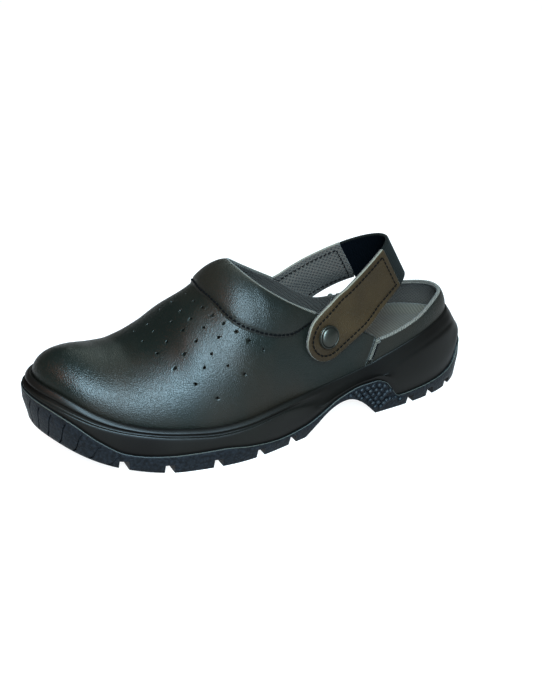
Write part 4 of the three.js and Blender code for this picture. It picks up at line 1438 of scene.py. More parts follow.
        # Knots as (grow, distance under the edge), and on the forefoot as (grow, share of the drop)
        plain = [(-1.6, 11.0), (-2.8, 7.5), (-3.6, 5.0), (-4.6, 2.5), (-5.4, 0.6)]
        beads = [(-0.5, 1.0), (-2.3, 0.92), (-2.7, 0.6), (-2.0, 0.3), (-4.2, -0.08)]
        knots = [(-0.4 + 0 * s, parting + c), (0 * s, mix(parting, edge, 0.3))]
        for (flat, below), (round_, share) in zip(plain, beads):
            knots.append((mix(flat, round_, rolled) * lean, edge - mix(below, share * drop, rolled)))
        knots.append((-lip, edge))
        wall = np.stack([LAST.ring(self.angle, g, h) for g, h in knots], axis=1)
        fine = round_off(wall, 5)
        parts.grid(fine, wrap=True)
        under = [(-self.wrap - self.wrap_slope - c + 0 * s, self.floor(s) + c),
                 (-self.wrap - c + 0 * s, parting + c), (-0.4 + 0 * s, parting + c)]
        grid = self.stack(parts, under)
        self.lid(parts, grid[:, 0], flip=True)
        inside = [(-lip, edge), (-lip, LAST.bed(s) - self.insole_thickness)]
        grid = self.stack(parts, inside)
        self.lid(parts, grid[:, -1], flip=False)
        piece = parts.build("midsole_wall", [self.wardrobe.foam])
        crease_edges(piece, 50)
        return set_down(piece, "midsole", "midsole")

    def insole(self) -> bpy.types.Object:
        """Footbed: rings that fall from a raised border into a shallow dish.

        Returns:
            The footbed.
        """
        parts = MeshParts()
        s = self.along
        c = LAST.clearance
        inset = LAST.lip_inset(s) + self.upper_wall + 2 * c
        bed = LAST.bed(s)
        levels = [(-inset, bed - self.insole_thickness + c), (-inset, bed + 0.8 * self.bed_dish),
                  (-inset - 0.5, bed + 0.95 * self.bed_dish), (-inset - 1.5, bed + self.bed_dish)]
        grid = self.stack(parts, levels)
        self.lid(parts, grid[:, 0], flip=True)
        self.lid(parts, grid[:, -1], flip=False, steps=48, sink=self.bed_dish)
        piece = parts.build("footbed", [self.wardrobe.felt])
        crease_edges(piece, 60)
        return set_down(piece, "insole", "insole")

    def build(self) -> None:
        """Makes the tread with its flash line and dots, the midsole and the footbed."""
        self.outsole()
        self.parting_flash()
        self.waist_dots()
        self.midsole()
        self.insole()


def round_off(grid: Array, steps: int) -> Array:
    """A Catmull-Rom line through a grid's columns, with steps parts to each stretch.

    Args:
        grid: rows by columns by 3.
        steps: parts of each stretch between columns.

    Returns:
        The finer grid.
    """
    first, last = 2 * grid[:, :1] - grid[:, 1:2], 2 * grid[:, -1:] - grid[:, -2:-1]
    padded = np.concatenate([first, grid, last], axis=1)
    rows = []
    t = np.linspace(0, 1, steps, endpoint=False)[None, :, None]
    for k in range(grid.shape[1] - 1):
        a, b, c, d = (padded[:, k + i][:, None] for i in range(4))
        rows.append(0.5 * (2 * b + (c - a) * t + (2 * a - 5 * b + 4 * c - d) * t ** 2
                           + (3 * b - a - 3 * c + d) * t ** 3))
    rows.append(grid[:, -1:])
    return np.concatenate(rows, axis=1)


@dataclass
class Upper:
    """The leather wall with its lining, air holes, heel binding and slit strips."""

    wardrobe: Wardrobe
    leather: float = 1.6
    wall: float = 2.4
    lining_rise: float = 0.7
    slit_width: float = 3.4
    slit_top: float = 0.259
    slit_foot: float = 0.282
    rows: int = 56
    hole_radius: float = 0.75
    punch: tuple[float, float] = (1.5, -3.4)
    binding_grow: float = -1.7
    binding_half: tuple[float, float] = (1.45, 1.3)
    binding_ripple: tuple[float, float] = (0.05, 1.7)
    strip_half: float = 1.4
    strip_faces: tuple[float, float] = (0.3, -1.4)
    tape_offset: float = 1.1
    tape_half: tuple[float, float] = (0.8, 0.7)
    knot_half: tuple[float, float, float] = (1.8, 1.3, 1.5)
    zigzag: tuple[float, float] = (-0.3, 0.75)
    zigzag_radius: float = 0.32

    def slit_x(self, z: Array, side: float) -> Array:
        """Middle of the slit at a height: a straight line from the sole's edge to the top line.

        Args:
            z: heights.
            side: 1 for the outer side and -1 for the inner.

        Returns:
            Places along the shoe.
        """
        top, foot = self.slit_top * LAST.length, self.slit_foot * LAST.length
        base = float(LAST.edge(np.array(self.slit_foot)))
        rim = float(LAST.topline(np.array(top), side))
        return mix(foot, top, (z - base) / (rim - base))

    def slit_angle(self, girth: Array, side: float, offset: Array, grow: float) -> Array:
        """Angle at which each girth meets the slit's line moved along x by offset, by halving.

        Args:
            girth: ways up the form.
            side: 1 for the outer side and -1 for the inner.
            offset: distance along x from the slit's middle.
            grow: distance from the form.

        Returns:
            Unsigned angles.
        """
        low, high = np.full(girth.shape, 0.9), np.full(girth.shape, 2.9)
        for _ in range(28):
            middle = (low + high) / 2
            point = LAST.form(side * middle, girth, grow)
            ahead = point[..., 0] > self.slit_x(point[..., 2], side) + offset
            low, high = np.where(ahead, middle, low), np.where(ahead, high, middle)
        return (low + high) / 2

    def slit_girth(self, side: float, offset: float, grow: float, lift: float) -> float:
        """Girth at which the slit's line meets the top line.

        Args:
            side: 1 for the outer side and -1 for the inner.
            offset: distance along x from the slit's middle.
            grow: distance from the form.
            lift: height over the top line.

        Returns:
            The girth.
        """
        girth = np.linspace(0, 1, 400)
        point = LAST.form(side * self.slit_angle(girth, side, offset, grow), girth, grow)
        over = point[:, 2] - LAST.topline(point[:, 0], side) - lift
        return float(np.interp(0.0, over, girth))

    def apex_angle(self, grow: float, lift: float) -> float:
        """Angle of the column whose ridge meets the top line at the throat, by halving.

        Args:
            grow: distance from the form.
            lift: height over the top line.

        Returns:
            The angle.
        """
        low, high = 0.9, 2.0
        for _ in range(40):
            middle = (low + high) / 2
            point = LAST.form(np.array(middle), np.array(1.0), grow)
            if point[2] > LAST.topline(point[0], 1) + lift:
                high = middle
            else:
                low = middle
        return (low + high) / 2

    def vamp_angles(self, side: float, grow: float, lift: float) -> tuple[Array, Array]:
        """Angle and girth grids of one half of the vamp, from the slit forwards to the toe.

        Args:
            side: 1 for the outer side and -1 for the inner.
            grow: distance from the form.
            lift: height over the top line.

        Returns:
            Angles and girths, sections by rows: sections crowd at the throat's tip.
        """
        offset = self.slit_width / 2
        top = self.slit_girth(side, offset, grow, lift)
        rows = np.linspace(0, 1, self.rows + 1)
        start = self.slit_angle(rows * top, side, offset, grow)
        apex = self.apex_angle(grow, lift)
        behind = apex + (start[-1] - apex) * np.linspace(1, 0, OPEN_SECTIONS) ** 2
        ahead = apex * (1 - np.linspace(0, 1, 101)[1:])
        columns = np.concatenate([behind, ahead])
        pull = ease(apex, start[-1], columns)[:, None] * (start - start[-1])[None]
        angle = columns[:, None] + pull
        girth = LAST.top_girth(side * columns, grow, lift)[:, None] * rows[None]
        return angle, girth

    def band_angles(self, grow: float, lift: float) -> tuple[Array, Array]:
        """Angle and girth grids of the heel band, from the outer slit round to the inner one.

        Args:
            grow: distance from the form.
            lift: height over the top line.

        Returns:
            Angles and girths, sections by rows.
        """
        rows = np.linspace(0, 1, 25)
        offset = -self.slit_width / 2
        ends = []
        for side in (1.0, -1.0):
            top = self.slit_girth(side, offset, grow, lift)
            ends.append(self.slit_angle(rows * top, side, offset, grow))
        first, last = ends[0], 2 * np.pi - ends[1]
        columns = np.linspace(first[-1], last[-1], 161)
        share = np.linspace(0, 1, 161)
        pull = ((1 - ease(0, 0.25, share))[:, None] * (first - first[-1])[None]
                + ease(0.75, 1, share)[:, None] * (last - last[-1])[None])
        girth = LAST.top_girth(columns, grow, lift)[:, None] * rows[None]
        return columns[:, None] + pull, girth

    @staticmethod
    def sunk(angle: Array, grid: Array) -> Array:
        """Adds rows below a grid's foot, straight down into the sole's cup.

        Args:
            angle: angles of the grid.
            grid: sections by rows by 3.

        Returns:
            The longer grid.
        """
        along = (1 + np.cos(angle[:, 0])) / 2
        cup = LAST.bed(along) - Sole.insole_thickness + LAST.clearance
        foot = grid[:, 0]
        below = [np.stack([foot[:, 0], foot[:, 1], mix(cup, foot[:, 2], t)], axis=-1) for t in (0.0, 0.5)]
        return np.concatenate([np.stack(below, axis=1), grid], axis=1)

    def skin(self, pairs: list[tuple[Array, Array, float]], grow: float) -> list[Array]:
        """Points of several angle and girth grids at one distance from the form.

        Args:
            pairs: angles, girths and side of each grid.
            grow: distance from the form.

        Returns:
            The points of each grid.
        """
        made = []
        for angle, girth, side in pairs:
            made.append(self.sunk(angle, LAST.form(side * angle, girth, grow)))
        return made

    def layer(self, parts: MeshParts, outer: float, inner: float, lift: float) -> None:
        """Adds one layer of the wall in two sheets: the vamp from slit to slit, and the heel band.

        Args:
            parts: the mesh that it is collected in.
            outer: distance of its outer face from the form.
            inner: distance of its inner face.
            lift: height of its top over the top line.
        """
        vamp = [(*self.vamp_angles(side, outer, lift), side) for side in (1.0, -1.0)]
        faces = []
        for grow in (outer, inner):
            near, far = self.skin(vamp, grow)
            faces.append(np.concatenate([near[:-1], far[::-1]]))
        self.vamp_sheet(parts, *faces)
        band = [(*self.band_angles(outer, lift), 1.0)]
        parts.shell(*(self.skin(band, grow)[0] for grow in (outer, inner)))

    @staticmethod
    def vamp_sheet(parts: MeshParts, outer: Array, inner: Array) -> None:
        """Adds the vamp: rows run from the outer slit round the toe to the inner slit, and its top
        border closes on itself ahead of the throat, so only the open part gets a rim.

        Args:
            parts: the mesh that it is collected in.
            outer: points of the outer face.
            inner: points of the inner face.
        """
        parts.grid(outer)
        parts.grid(inner, flip=True)
        for end, turn in ((0, False), (-1, True)):
            inward = 1 if end == 0 else -2
            half = np.linalg.norm(outer[end] - inner[end], axis=-1, keepdims=True) / 2
            away = unit(outer[end] - outer[inward]) * half
            parts.rim(outer[end], inner[end], away, flip=not turn)
        parts.rim(outer[:, 0], inner[:, 0], 0 * outer[:, 0], steps=1, flip=True)
        for piece in (slice(0, OPEN_SECTIONS), slice(len(outer) - OPEN_SECTIONS, len(outer))):
            top, low = outer[piece, -1], inner[piece, -1]
            half = np.linalg.norm(top - low, axis=-1, keepdims=True) / 2
            away = unit(top - outer[piece, -2]) * half
            parts.rim(top, low, away)

    def holes(self) -> bpy.types.Object:
        """The punch for the vamp's air holes: short bars through the wall, in rows that fall back
        as the square of the way round, mirrored on both sides of the ridge.

        Returns:
            The punch.
        """
        parts = MeshParts()
        turn = np.linspace(0, 2 * np.pi, 13)
        girth = np.linspace(1, 0.02, 160)
        for middle, first, pitch, count, fall in HOLE_ROWS:
            for side in (1.0, -1.0):
                for k in range(int(count)):
                    arc = first + pitch * k
                    x = middle - fall * arc ** 2
                    angle = LAST.angle_over(np.full(160, x), girth, side)
                    line = LAST.form(angle, girth)
                    run = np.concatenate([[0], np.cumsum(np.linalg.norm(np.diff(line, axis=0), axis=-1))])
                    at = float(np.interp(arc, run, girth))
                    a = float(np.interp(arc, run, angle))
                    centre = LAST.form(np.array(a), np.array(at))
                    up = LAST.form_normal(np.array(a), np.array(at)) * side
                    out = up if up[2] > 0 else -up
                    lay = unit(np.cross(out, np.array([0.0, 1.0, 0.1])))
                    high = np.cross(out, lay)
                    ring = lay * np.cos(turn)[:, None] + high * np.sin(turn)[:, None]
                    top, low = (centre + out * end for end in self.punch)
                    ring = ring * self.hole_radius
                    parts.grid(np.stack([top + 0 * ring, top + ring, low + ring, low + 0 * ring], axis=1))
        return parts.build("hole_punch", [])

    def build(self) -> None:
        """Makes the leather, the lining, the heel binding and the slit strips."""
        parts = MeshParts()
        self.layer(parts, 0.0, -self.leather, 0.0)
        shell = parts.build("upper_leather", [self.wardrobe.leather])
        cut(shell, self.holes())
        set_down(shell, "leather", "upper")
        parts = MeshParts()
        self.layer(parts, -self.leather - 0.02, -self.wall, self.lining_rise)
        lining = parts.build("upper_lining", [self.wardrobe.lining])
        cut(lining, self.holes())
        set_down(lining, "gusset")
        self.binding()
        self.slits()

    def binding(self) -> None:
        """Knitted binding rolled over the heel band's top edge."""
        angle, girth = self.band_angles(-self.wall / 2, 0.0)
        path = LAST.form(angle[:, -1], girth[:, -1], self.binding_grow)
        fine = round_off(path[None], 4)[0]
        ahead = unit(np.gradient(fine, axis=0))
        up = UP + 0 * fine
        across = unit(np.cross(ahead, up))
        up = unit(np.cross(across, ahead))
        run = np.concatenate([[0], np.cumsum(np.linalg.norm(np.diff(fine, axis=0), axis=-1))])
        ripple = 1 + self.binding_ripple[0] * np.sin(2 * np.pi * run / self.binding_ripple[1])
        parts = MeshParts()
        tube(parts, fine + across * 0.2, across, up, *self.binding_half, 16, ripple)
        set_down(parts.build("heel_edge_binding", [self.wardrobe.binding]), "gusset")

    def slits(self) -> None:
        """Textile strip in each slit, with a piped front edge and a zigzag seam behind it."""
        for side, name in ((1.0, "outer"), (-1.0, "inner")):
            parts = MeshParts()
            girths = np.linspace(0.02, self.slit_girth(side, 0.0, 0.4, -0.4), 40)
            columns = []
            for offset in np.linspace(-self.strip_half, self.strip_half, 9):
                columns.append(side * self.slit_angle(girths, side, offset, 0.0))
            angle = np.stack(columns, axis=1)
            parts.shell(*(LAST.form(angle, girths[:, None], grow) for grow in self.strip_faces))
            strip = parts.build("slit_strip_" + name, [self.wardrobe.lining])
            set_down(strip, "gusset", "gusset_" + name + "_side")
            parts = MeshParts()
            edge = side * self.slit_angle(girths, side, self.tape_offset, 0.0)
            path = LAST.form(edge, girths, 0.5)
            out = unit(LAST.form(edge, girths, 1.0) - LAST.form(edge, girths, 0.0))
            across = unit(np.cross(np.gradient(path, axis=0), out))
            wave = 1 + 0.12 * np.sin(np.arange(len(path)) * 1.9)
            tube(parts, path, across, out, *self.tape_half, 10, wave)
            self.knot(parts, path[-1] + across[-1] * 0.6, across[-1], out[-1])
            set_down(parts.build("slit_piping_" + name, [self.wardrobe.piping]), "gusset")
            parts = MeshParts()
            middle, swing = self.zigzag
            zig = middle - swing * np.sign(np.sin(np.arange(40) * np.pi / 2 + 0.1))
            seam = side * self.slit_angle(girths, side, zig, 0.0)
            path = LAST.form(seam, girths, 0.6)
            out = unit(LAST.form(seam, girths, 1.6) - LAST.form(seam, girths, 0.6))
            across = unit(np.cross(np.gradient(path, axis=0), out))
            tube(parts, path, across, out, self.zigzag_radius, self.zigzag_radius, 6)
            set_down(parts.build("slit_zigzag_" + name, [self.wardrobe.thread]), "gusset")

    def knot(self, parts: MeshParts, centre: Array, across: Array, out: Array) -> None:
        """Adds the folded end of the tape: a ball whose radius ripples as 1 + 0.14 sin 5a cos 3b.

        Args:
            parts: the mesh that it is collected in.
            centre: its middle.
            across: unit vector along the top line.
            out: unit vector out of the upper.
        """
        a = np.linspace(0, 2 * np.pi, 25)[:, None]
        b = np.linspace(-np.pi / 2, np.pi / 2, 13)[None]
        high = np.cross(across, out)
        wide, deep, tall = self.knot_half
        size = 1 + 0.14 * np.sin(5 * a) * np.cos(3 * b) * np.cos(b)
        ball = (across * (wide * np.cos(a) * np.cos(b) * size)[..., None]
                + out * (deep * np.sin(a) * np.cos(b) * size)[..., None]
                + high * (tall * np.sin(b) * size)[..., None])
        parts.grid(centre + ball)


@dataclass
class CollarPad:
    """Foam pad under leather round the throat, with its seams."""

    wardrobe: Wardrobe
    thickness: float = 3.4
    edge: float = 0.9
    margin: float = 0.6
    seat: float = 0.6
    tip: float = 0.407
    peak: float = 0.09
    rows: int = 90
    columns: int = 30
    tip_step: float = 2.0
    tip_run: float = 0.4
    first_share: float = 0.03
    puff: float = 0.6
    seam_share: float = 0.9
    seam_height: float = 0.3
    pucker: float = 0.15
    seam: StitchRun = StitchRun(pitch=3.0, length=2.3, radius=0.6, sink=0.12)
    piping_half: tuple[float, float] = (0.85, 0.8)

    def grids(self, upper: Upper) -> tuple[Array, Array]:
        """Angle and girth of the pad from its outer tip over the ridge to its inner tip.

        Args:
            upper: the upper that it lies on.

        Returns:
            Angles and girths, rows along the collar by columns down to the seam.
        """
        along = Flow(PAD_SEAM[:, 0], PAD_SEAM[:, 1])
        seam = Flow(PAD_SEAM[:, 0], PAD_SEAM[:, 2])
        apex = LAST.form(np.array(upper.apex_angle(0.0, 0.0)), np.array(1.0))[0] + self.margin
        turn = np.linspace(0, 1, self.rows + 1)
        share = mix(self.first_share, 1.0, np.linspace(0, 1, self.columns + 1))
        angles, girths = [], []
        for side in (1.0, -1.0):
            top_x = mix(self.tip * LAST.length + self.tip_step, apex, np.sin(turn * np.pi / 2))
            top = self.top_girth(top_x, side)
            top[-1] = 1.0
            girth = mix(top[:, None], seam(turn)[:, None], share[None])
            level = 1 - (np.hypot(1 - turn, self.peak) - self.peak) / (math.hypot(1, self.peak) - self.peak)
            x = mix(top_x[:, None], (along(level) * LAST.length)[:, None], share[None])
            angles.append(LAST.angle_over(x, girth, side))
            girths.append(girth)
        angle = np.concatenate([angles[0], angles[1][-2::-1]])
        return angle, np.concatenate([girths[0], girths[1][-2::-1]])

    @staticmethod
    def top_girth(x: Array, side: float) -> Array:
        """Girth at which the top line crosses the form over x, by halving.

        Args:
            x: places along the shoe.
            side: 1 for the outer side and -1 for the inner.

        Returns:
            Girths.
        """
        low, high = np.zeros(x.shape), np.ones(x.shape)
        for _ in range(24):
            girth = (low + high) / 2
            point = LAST.form(LAST.angle_over(x, girth, side), girth)
            above = point[..., 2] > LAST.topline(x, side)
            low, high = np.where(above, low, girth), np.where(above, girth, high)
        return (low + high) / 2

    def build(self, upper: Upper) -> None:
        """Makes the puffed crescent: its height is a rounded arch across, sin to the power 0.6,
        drawn down at the seam in small puckers between the stitches.

        Args:
            upper: the upper that it lies on.
        """
        angle, girth = self.grids(upper)
        count = angle.shape[0]
        turn = 1 - np.abs(np.linspace(-1, 1, count))
        across = np.linspace(0, 1, self.columns + 1)[None]
        crown = np.sin(np.pi * across) ** self.puff * ease(0, self.tip_run, turn)[:, None]
        drawn = mix(1.0, self.seam_height, ease(self.seam_share, 1, across))
        lift = (self.seat + mix(self.edge, self.thickness, crown)) * drawn
        flat = LAST.form(angle, girth, 0.0)
        up = unit(LAST.form(angle, girth, 1.0) - flat)
        outer = flat + up * lift[..., None]
        seam_run = surface_lengths(flat)[:, 0, 0]
        wave = np.cos(2 * np.pi * seam_run / 3.4)[:, None] * np.exp(-((1 - across) * 9) ** 2)
        outer = outer + up * (self.pucker * wave)[..., None]
        inner = flat + up * (self.seat * 0.3)
        parts = MeshParts()
        parts.shell(outer, inner, bulge=0.8)
        piece = parts.build("collar_pad_leather", [self.wardrobe.pad])
        set_down(piece, "leather", "collar_pad")
        parts = MeshParts()
        seam = outer[:, -2] + up[:, -2] * 0.02
        self.seam.add(parts, seam, up[:, -2])
        set_down(parts.build("collar_seam_stitches", [self.wardrobe.thread]), "leather")
        parts = MeshParts()
        top = outer[:, 1]
        ahead = unit(np.gradient(top, axis=0))
        side = unit(np.cross(ahead, up[:, 1]))
        path = outer[:, 0] + (outer[:, 0] - outer[:, 1]) * 0.2 - up[:, 0] * 0.3
        tube(parts, path, side, up[:, 0], *self.piping_half, 10)
        set_down(parts.build("throat_edge_piping", [self.wardrobe.piping]), "leather")


@dataclass
class HeelStrap:
    """Two leather ends with their lining, the elastic between them, the stitches and the studs."""

    wardrobe: Wardrobe
    width: float = 30.0
    thickness: float = 2.6
    leather: float = 1.7
    elastic_thickness: float = 1.8
    tilt: float = 27.5
    rise: float = 60.3
    stud_along: float = 0.394
    loop_along: float = 0.184
    outer_share: float = 0.405
    inner_share: float = 0.315
    release: tuple[float, float] = (2.5, 24.0)
    pad_seat: float = 0.6
    pad_edge: float = 0.9
    seam_inset: float = 3.4
    cap_radius: float = 7.2
    cap_height: float = 3.2
    climb: tuple[float, float] = (3.0, 12.0)
    climb_near: tuple[float, float] = (22.0, 10.0)
    seam_half: float = 0.7
    seam_depth: float = 0.28
    puff: float = 0.25
    rib: tuple[float, float] = (0.09, 1.5)
    face_stitch: StitchRun = StitchRun(pitch=3.1, length=2.5, radius=0.4, sink=0.12)
    back_stitch: StitchRun = StitchRun(pitch=3.1, length=2.3, radius=0.36, sink=0.1)

    def __post_init__(self) -> None:
        """Works out the strap's plane, its middle line and how long it is."""
        turn = math.radians(self.tilt)
        self.run = np.array([-math.cos(turn), 0.0, math.sin(turn)])
        self.up = np.array([math.sin(turn), 0.0, math.cos(turn)])
        self.stud_x = self.stud_along * LAST.length
        reach = (self.stud_x - self.loop_along * LAST.length) / math.cos(turn)
        sides = [self.on_form(np.array(self.stud_x), np.array(self.rise), side)[1] for side in (-1.0, 1.0)]
        knots = np.stack([STRAP_PATH[:, 0] * reach, mix(sides[0], sides[1], STRAP_PATH[:, 1])], axis=-1)
        self.line = self.centripetal(knots, 200)
        step = np.linalg.norm(np.diff(self.line, axis=0), axis=-1)
        self.at = np.concatenate([[0.0], np.cumsum(step)])
        self.length = self.at[-1]
        self.slope = unit(np.gradient(self.line, self.at, axis=0))

    @staticmethod
    def on_form(x: Array, z: Array, side: float) -> Array:
        """The form's point seen from the side at x and z."""
        angle, girth = LAST.over(x, z, side)
        return LAST.form(angle, girth)

    @staticmethod
    def centripetal(knots: Array, steps: int) -> Array:
        """A Catmull-Rom curve through knots whose spacing is the root of their distance.

        Args:
            knots: points of the curve.
            steps: parts of each stretch.

        Returns:
            Points along the curve.
        """
        padded = np.concatenate([2 * knots[:1] - knots[1:2], knots, 2 * knots[-1:] - knots[-2:-1]])
        t = np.linspace(0, 1, steps, endpoint=False)[:, None]
        made = []
        for a, b, c, d in zip(padded, padded[1:], padded[2:], padded[3:]):
            first, middle, last = (math.sqrt(np.linalg.norm(q - p)) for p, q in ((a, b), (b, c), (c, d)))
            start = ((b - a) / first - (c - a) / (first + middle) + (c - b) / middle) * middle
            end = ((c - b) / middle - (d - b) / (middle + last) + (d - c) / last) * middle
            made.append(b + start * t + (3 * (c - b) - 2 * start - end) * t ** 2
                        + (2 * (b - c) + start + end) * t ** 3)
        return np.concatenate([*made, knots[-1:]])

    def leather_length(self, side: float) -> float:
        """Length of one leather end, from its stud."""
        return (self.outer_share if side > 0 else self.inner_share) * self.length

    def point(self, distance: Array, across: Array, lift: Array, side: float) -> Array:
        """A point of the strap: against the upper near the stud, and free in its plane behind.

        Args:
            distance: way along the strap from the stud of this side.
            across: way up the strap from its middle.
            lift: distance out from the strap's inner face.
            side: 1 for the outer stud and -1 for the inner.

        Returns:
            Points with x, y and z along the last axis.
        """
        distance, across, lift = np.broadcast_arrays(distance, across, lift)
        inside = np.clip(distance, 0, self.length)
        at = self.length - inside if side > 0 else inside
        place = np.stack([np.interp(at, self.at, self.line[:, k]) for k in (0, 1)], axis=-1)
        slope = unit(np.stack([np.interp(at, self.at, self.slope[:, k]) for k in (0, 1)], axis=-1))
        run = place[..., 0] + np.minimum(distance, 0)
        origin = np.array([self.stud_x, 0.0, self.rise])
        point = origin + self.run * run[..., None] + self.up * across[..., None]
        free = ease(*self.release, point[..., 2] - LAST.topline(point[..., 0], side))
        y = place[..., 1].copy()
        held = free < 1
        if held.any():
            lying = self.on_form(point[held][:, 0], point[held][:, 2], side)[:, 1]
            y[held] = mix(lying, y[held], free[held])
        point[..., 1] = y
        out = self.run * slope[..., 1:2]
        out[..., 1] = -slope[..., 0]
        near_pad = ease(*self.climb, across) * ease(*self.climb_near, np.abs(distance))
        over = (self.pad_seat + self.pad_edge) * near_pad
        return point + out * (LAST.clearance + over + lift)[..., None]

    def half_width(self, distance: Array) -> Array:
        """Half the strap's width: full along it, and a circle round the stud's end."""
        half = self.width / 2
        return np.sqrt(np.maximum(half ** 2 - np.minimum(distance, 0) ** 2, 0.3))

    def edge_distance(self, distance: Array, across: Array) -> Array:
        """Distance from the strap's edge: straight along it and round at the stud's end."""
        return self.width / 2 - np.hypot(np.minimum(distance, 0), across)

    def stations(self, side: float) -> Array:
        """Distances of the rows: cosine steps round the end, then even ones."""
        round_end = -self.width / 2 * np.cos(np.linspace(0.02, np.pi / 2, 28, endpoint=False))
        return np.concatenate([round_end, np.linspace(0, self.leather_length(side), 90)])

    def leather_end(self, side: float, name: str) -> None:
        """Leather and lining of one end: the leather dips along its seam and swells inside it.

        Args:
            side: 1 for the outer side and -1 for the inner.
            name: word for the side in the pieces' names.
        """
        rows = self.stations(side)
        share = np.linspace(-1, 1, 41)
        distance = rows[:, None] + 0 * share[None]
        across = self.half_width(rows)[:, None] * share[None]
        edge = self.edge_distance(distance, across)
        seam = np.exp(-((edge - self.seam_inset) / self.seam_half) ** 2)
        puff = self.puff * ease(0.3, 1.6, edge) - self.seam_depth * seam
        base = self.thickness - self.leather
        outer = self.point(distance, across, self.thickness - self.puff + puff, side)
        middle = self.point(distance, across, base + 0.02, side)
        uv = np.stack([distance, across], axis=-1)
        parts = MeshParts()
        parts.shell(outer, middle, slots=(0, 0, 1), bulge=0.35, uv=uv)
        piece = parts.build("strap_leather_" + name, [self.wardrobe.strap, self.wardrobe.raw_edge])
        set_down(piece, "strap", "strap_" + name + "_side")
        inner = self.point(distance, across, 0.0, side)
        parts = MeshParts()
        parts.shell(self.point(distance, across * 0.995, base, side), inner, bulge=0.35, uv=uv)
        set_down(parts.build("strap_lining_" + name, [self.wardrobe.mesh]), "strap")
        self.stitches(side, name)

    def seam_path(self, side: float, lift: float) -> tuple[Array, Array]:
        """The seam round one leather end, and the way out of the strap along it.

        Args:
            side: 1 for the outer end and -1 for the inner.
            lift: height over the strap's inner face.

        Returns:
            Points and unit vectors.
        """
        half = self.width / 2 - self.seam_inset
        end = self.leather_length(side) - self.seam_inset
        straight = np.linspace(end, 0, 60)
        turn = np.linspace(np.pi / 2, -np.pi / 2, 40)
        cross = np.linspace(-half, half, 20)
        bend = half * np.stack([-np.cos(turn), np.sin(turn)])[:, 1:-1]
        distance = np.concatenate([straight, bend[0], straight[::-1], end + 0 * cross[1:]])
        across = np.concatenate([half + 0 * straight, bend[1], -half + 0 * straight, cross[1:]])
        path = self.point(distance, across, np.full(distance.shape, lift), side)
        ahead = self.point(distance, across, np.full(distance.shape, lift + 1), side)
        return path, unit(ahead - path)

    def stitches(self, side: float, name: str) -> None:
        """Stitches on the leather and, through the mesh, on the inside.

        Args:
            side: 1 for the outer side and -1 for the inner.
            name: word for the side in the piece's name.
        """
        parts = MeshParts()
        path, out = self.seam_path(side, self.thickness - 0.15)
        self.face_stitch.add(parts, path, out)
        path, out = self.seam_path(side, 0.0)
        self.back_stitch.add(parts, path, -out)
        set_down(parts.build("strap_stitches_" + name, [self.wardrobe.thread]), "strap")

    def elastic(self) -> None:
        """Webbing between the leather ends, with fine ribs across its face."""
        start = self.leather_length(1.0) + LAST.clearance
        end = self.length - self.leather_length(-1.0) - LAST.clearance
        rows = np.linspace(start, end, 220)
        share = np.linspace(-1, 1, 31)
        distance = rows[:, None] + 0 * share[None]
        across = (self.width / 2 - 0.5) * share[None] + 0 * distance
        rest = (self.thickness - self.elastic_thickness) / 2
        rib = self.rib[0] * np.sin(2 * np.pi * distance / self.rib[1])
        uv = np.stack([distance, across], axis=-1)
        parts = MeshParts()
        outer = self.point(distance, across, rest + self.elastic_thickness + rib, 1.0)
        inner = self.point(distance, across, rest - rib, 1.0)
        # The inner face takes the darker material, which is partly painted shade
        parts.shell(outer, inner, slots=(0, 1, 0), uv=uv)
        piece = parts.build("strap_elastic_webbing", [self.wardrobe.elastic, self.wardrobe.elastic_back_painted_shade])
        set_down(piece, "elastic", "strap_elastic")

    def stud(self, side: float, name: str) -> None:
        """Cap turned about the stud's axis: a low dome with a fine groove inside its rolled rim.

        Args:
            side: 1 for the outer side and -1 for the inner.
            name: word for the side in the piece's name.
        """
        place = self.on_form(np.array(self.stud_x), np.array(self.rise), side)
        step = 2.0
        x, z = np.array(self.stud_x), np.array(self.rise)
        ahead = [self.on_form(x + d, z, side) for d in (-step, step)]
        above = [self.on_form(x, z + d, side) for d in (-step, step)]
        axis = unit(np.cross(above[1] - above[0], ahead[1] - ahead[0])) * side
        turn = np.arange(12) * np.pi / 6
        rim = self.point(self.cap_radius * np.cos(turn), self.cap_radius * np.sin(turn),
                         np.full(12, self.thickness), side)
        base = float(((rim - place) @ axis).max()) + LAST.clearance
        r, h = self.cap_radius, self.cap_height
        profile = CAP * np.array([r, h / CAP[-1, 1]])
        profile = round_off(np.pad(profile, ((0, 0), (0, 1)))[None], 3)[0][:, :2]
        lay = unit(np.cross(axis, np.array([1.0, 0.0, 0.2])))
        high = np.cross(axis, lay)
        angle = np.linspace(0, 2 * np.pi, 72, endpoint=False)
        ring = lay * np.cos(angle)[:, None] + high * np.sin(angle)[:, None]
        points = place + axis * (base + profile[:, 1])[:, None] + ring[:, None] * profile[:, :1]
        parts = MeshParts()
        parts.grid(points, wrap=True)
        foot = place + axis * (base + CAP[0, 1] * h / CAP[-1, 1])
        lid = np.stack([points[:, 0], foot + 0 * points[:, 0]], axis=1)
        parts.grid(lid, wrap=True, flip=True)
        set_down(parts.build("stud_cap_" + name, [self.wardrobe.stud]), "studs", "stud_" + name + "_side")

    def build(self) -> None:
        """Makes both leather ends, the elastic and the studs."""
        for side, name in ((1.0, "outer"), (-1.0, "inner")):
            self.leather_end(side, name)
            self.stud(side, name)
        self.elastic()


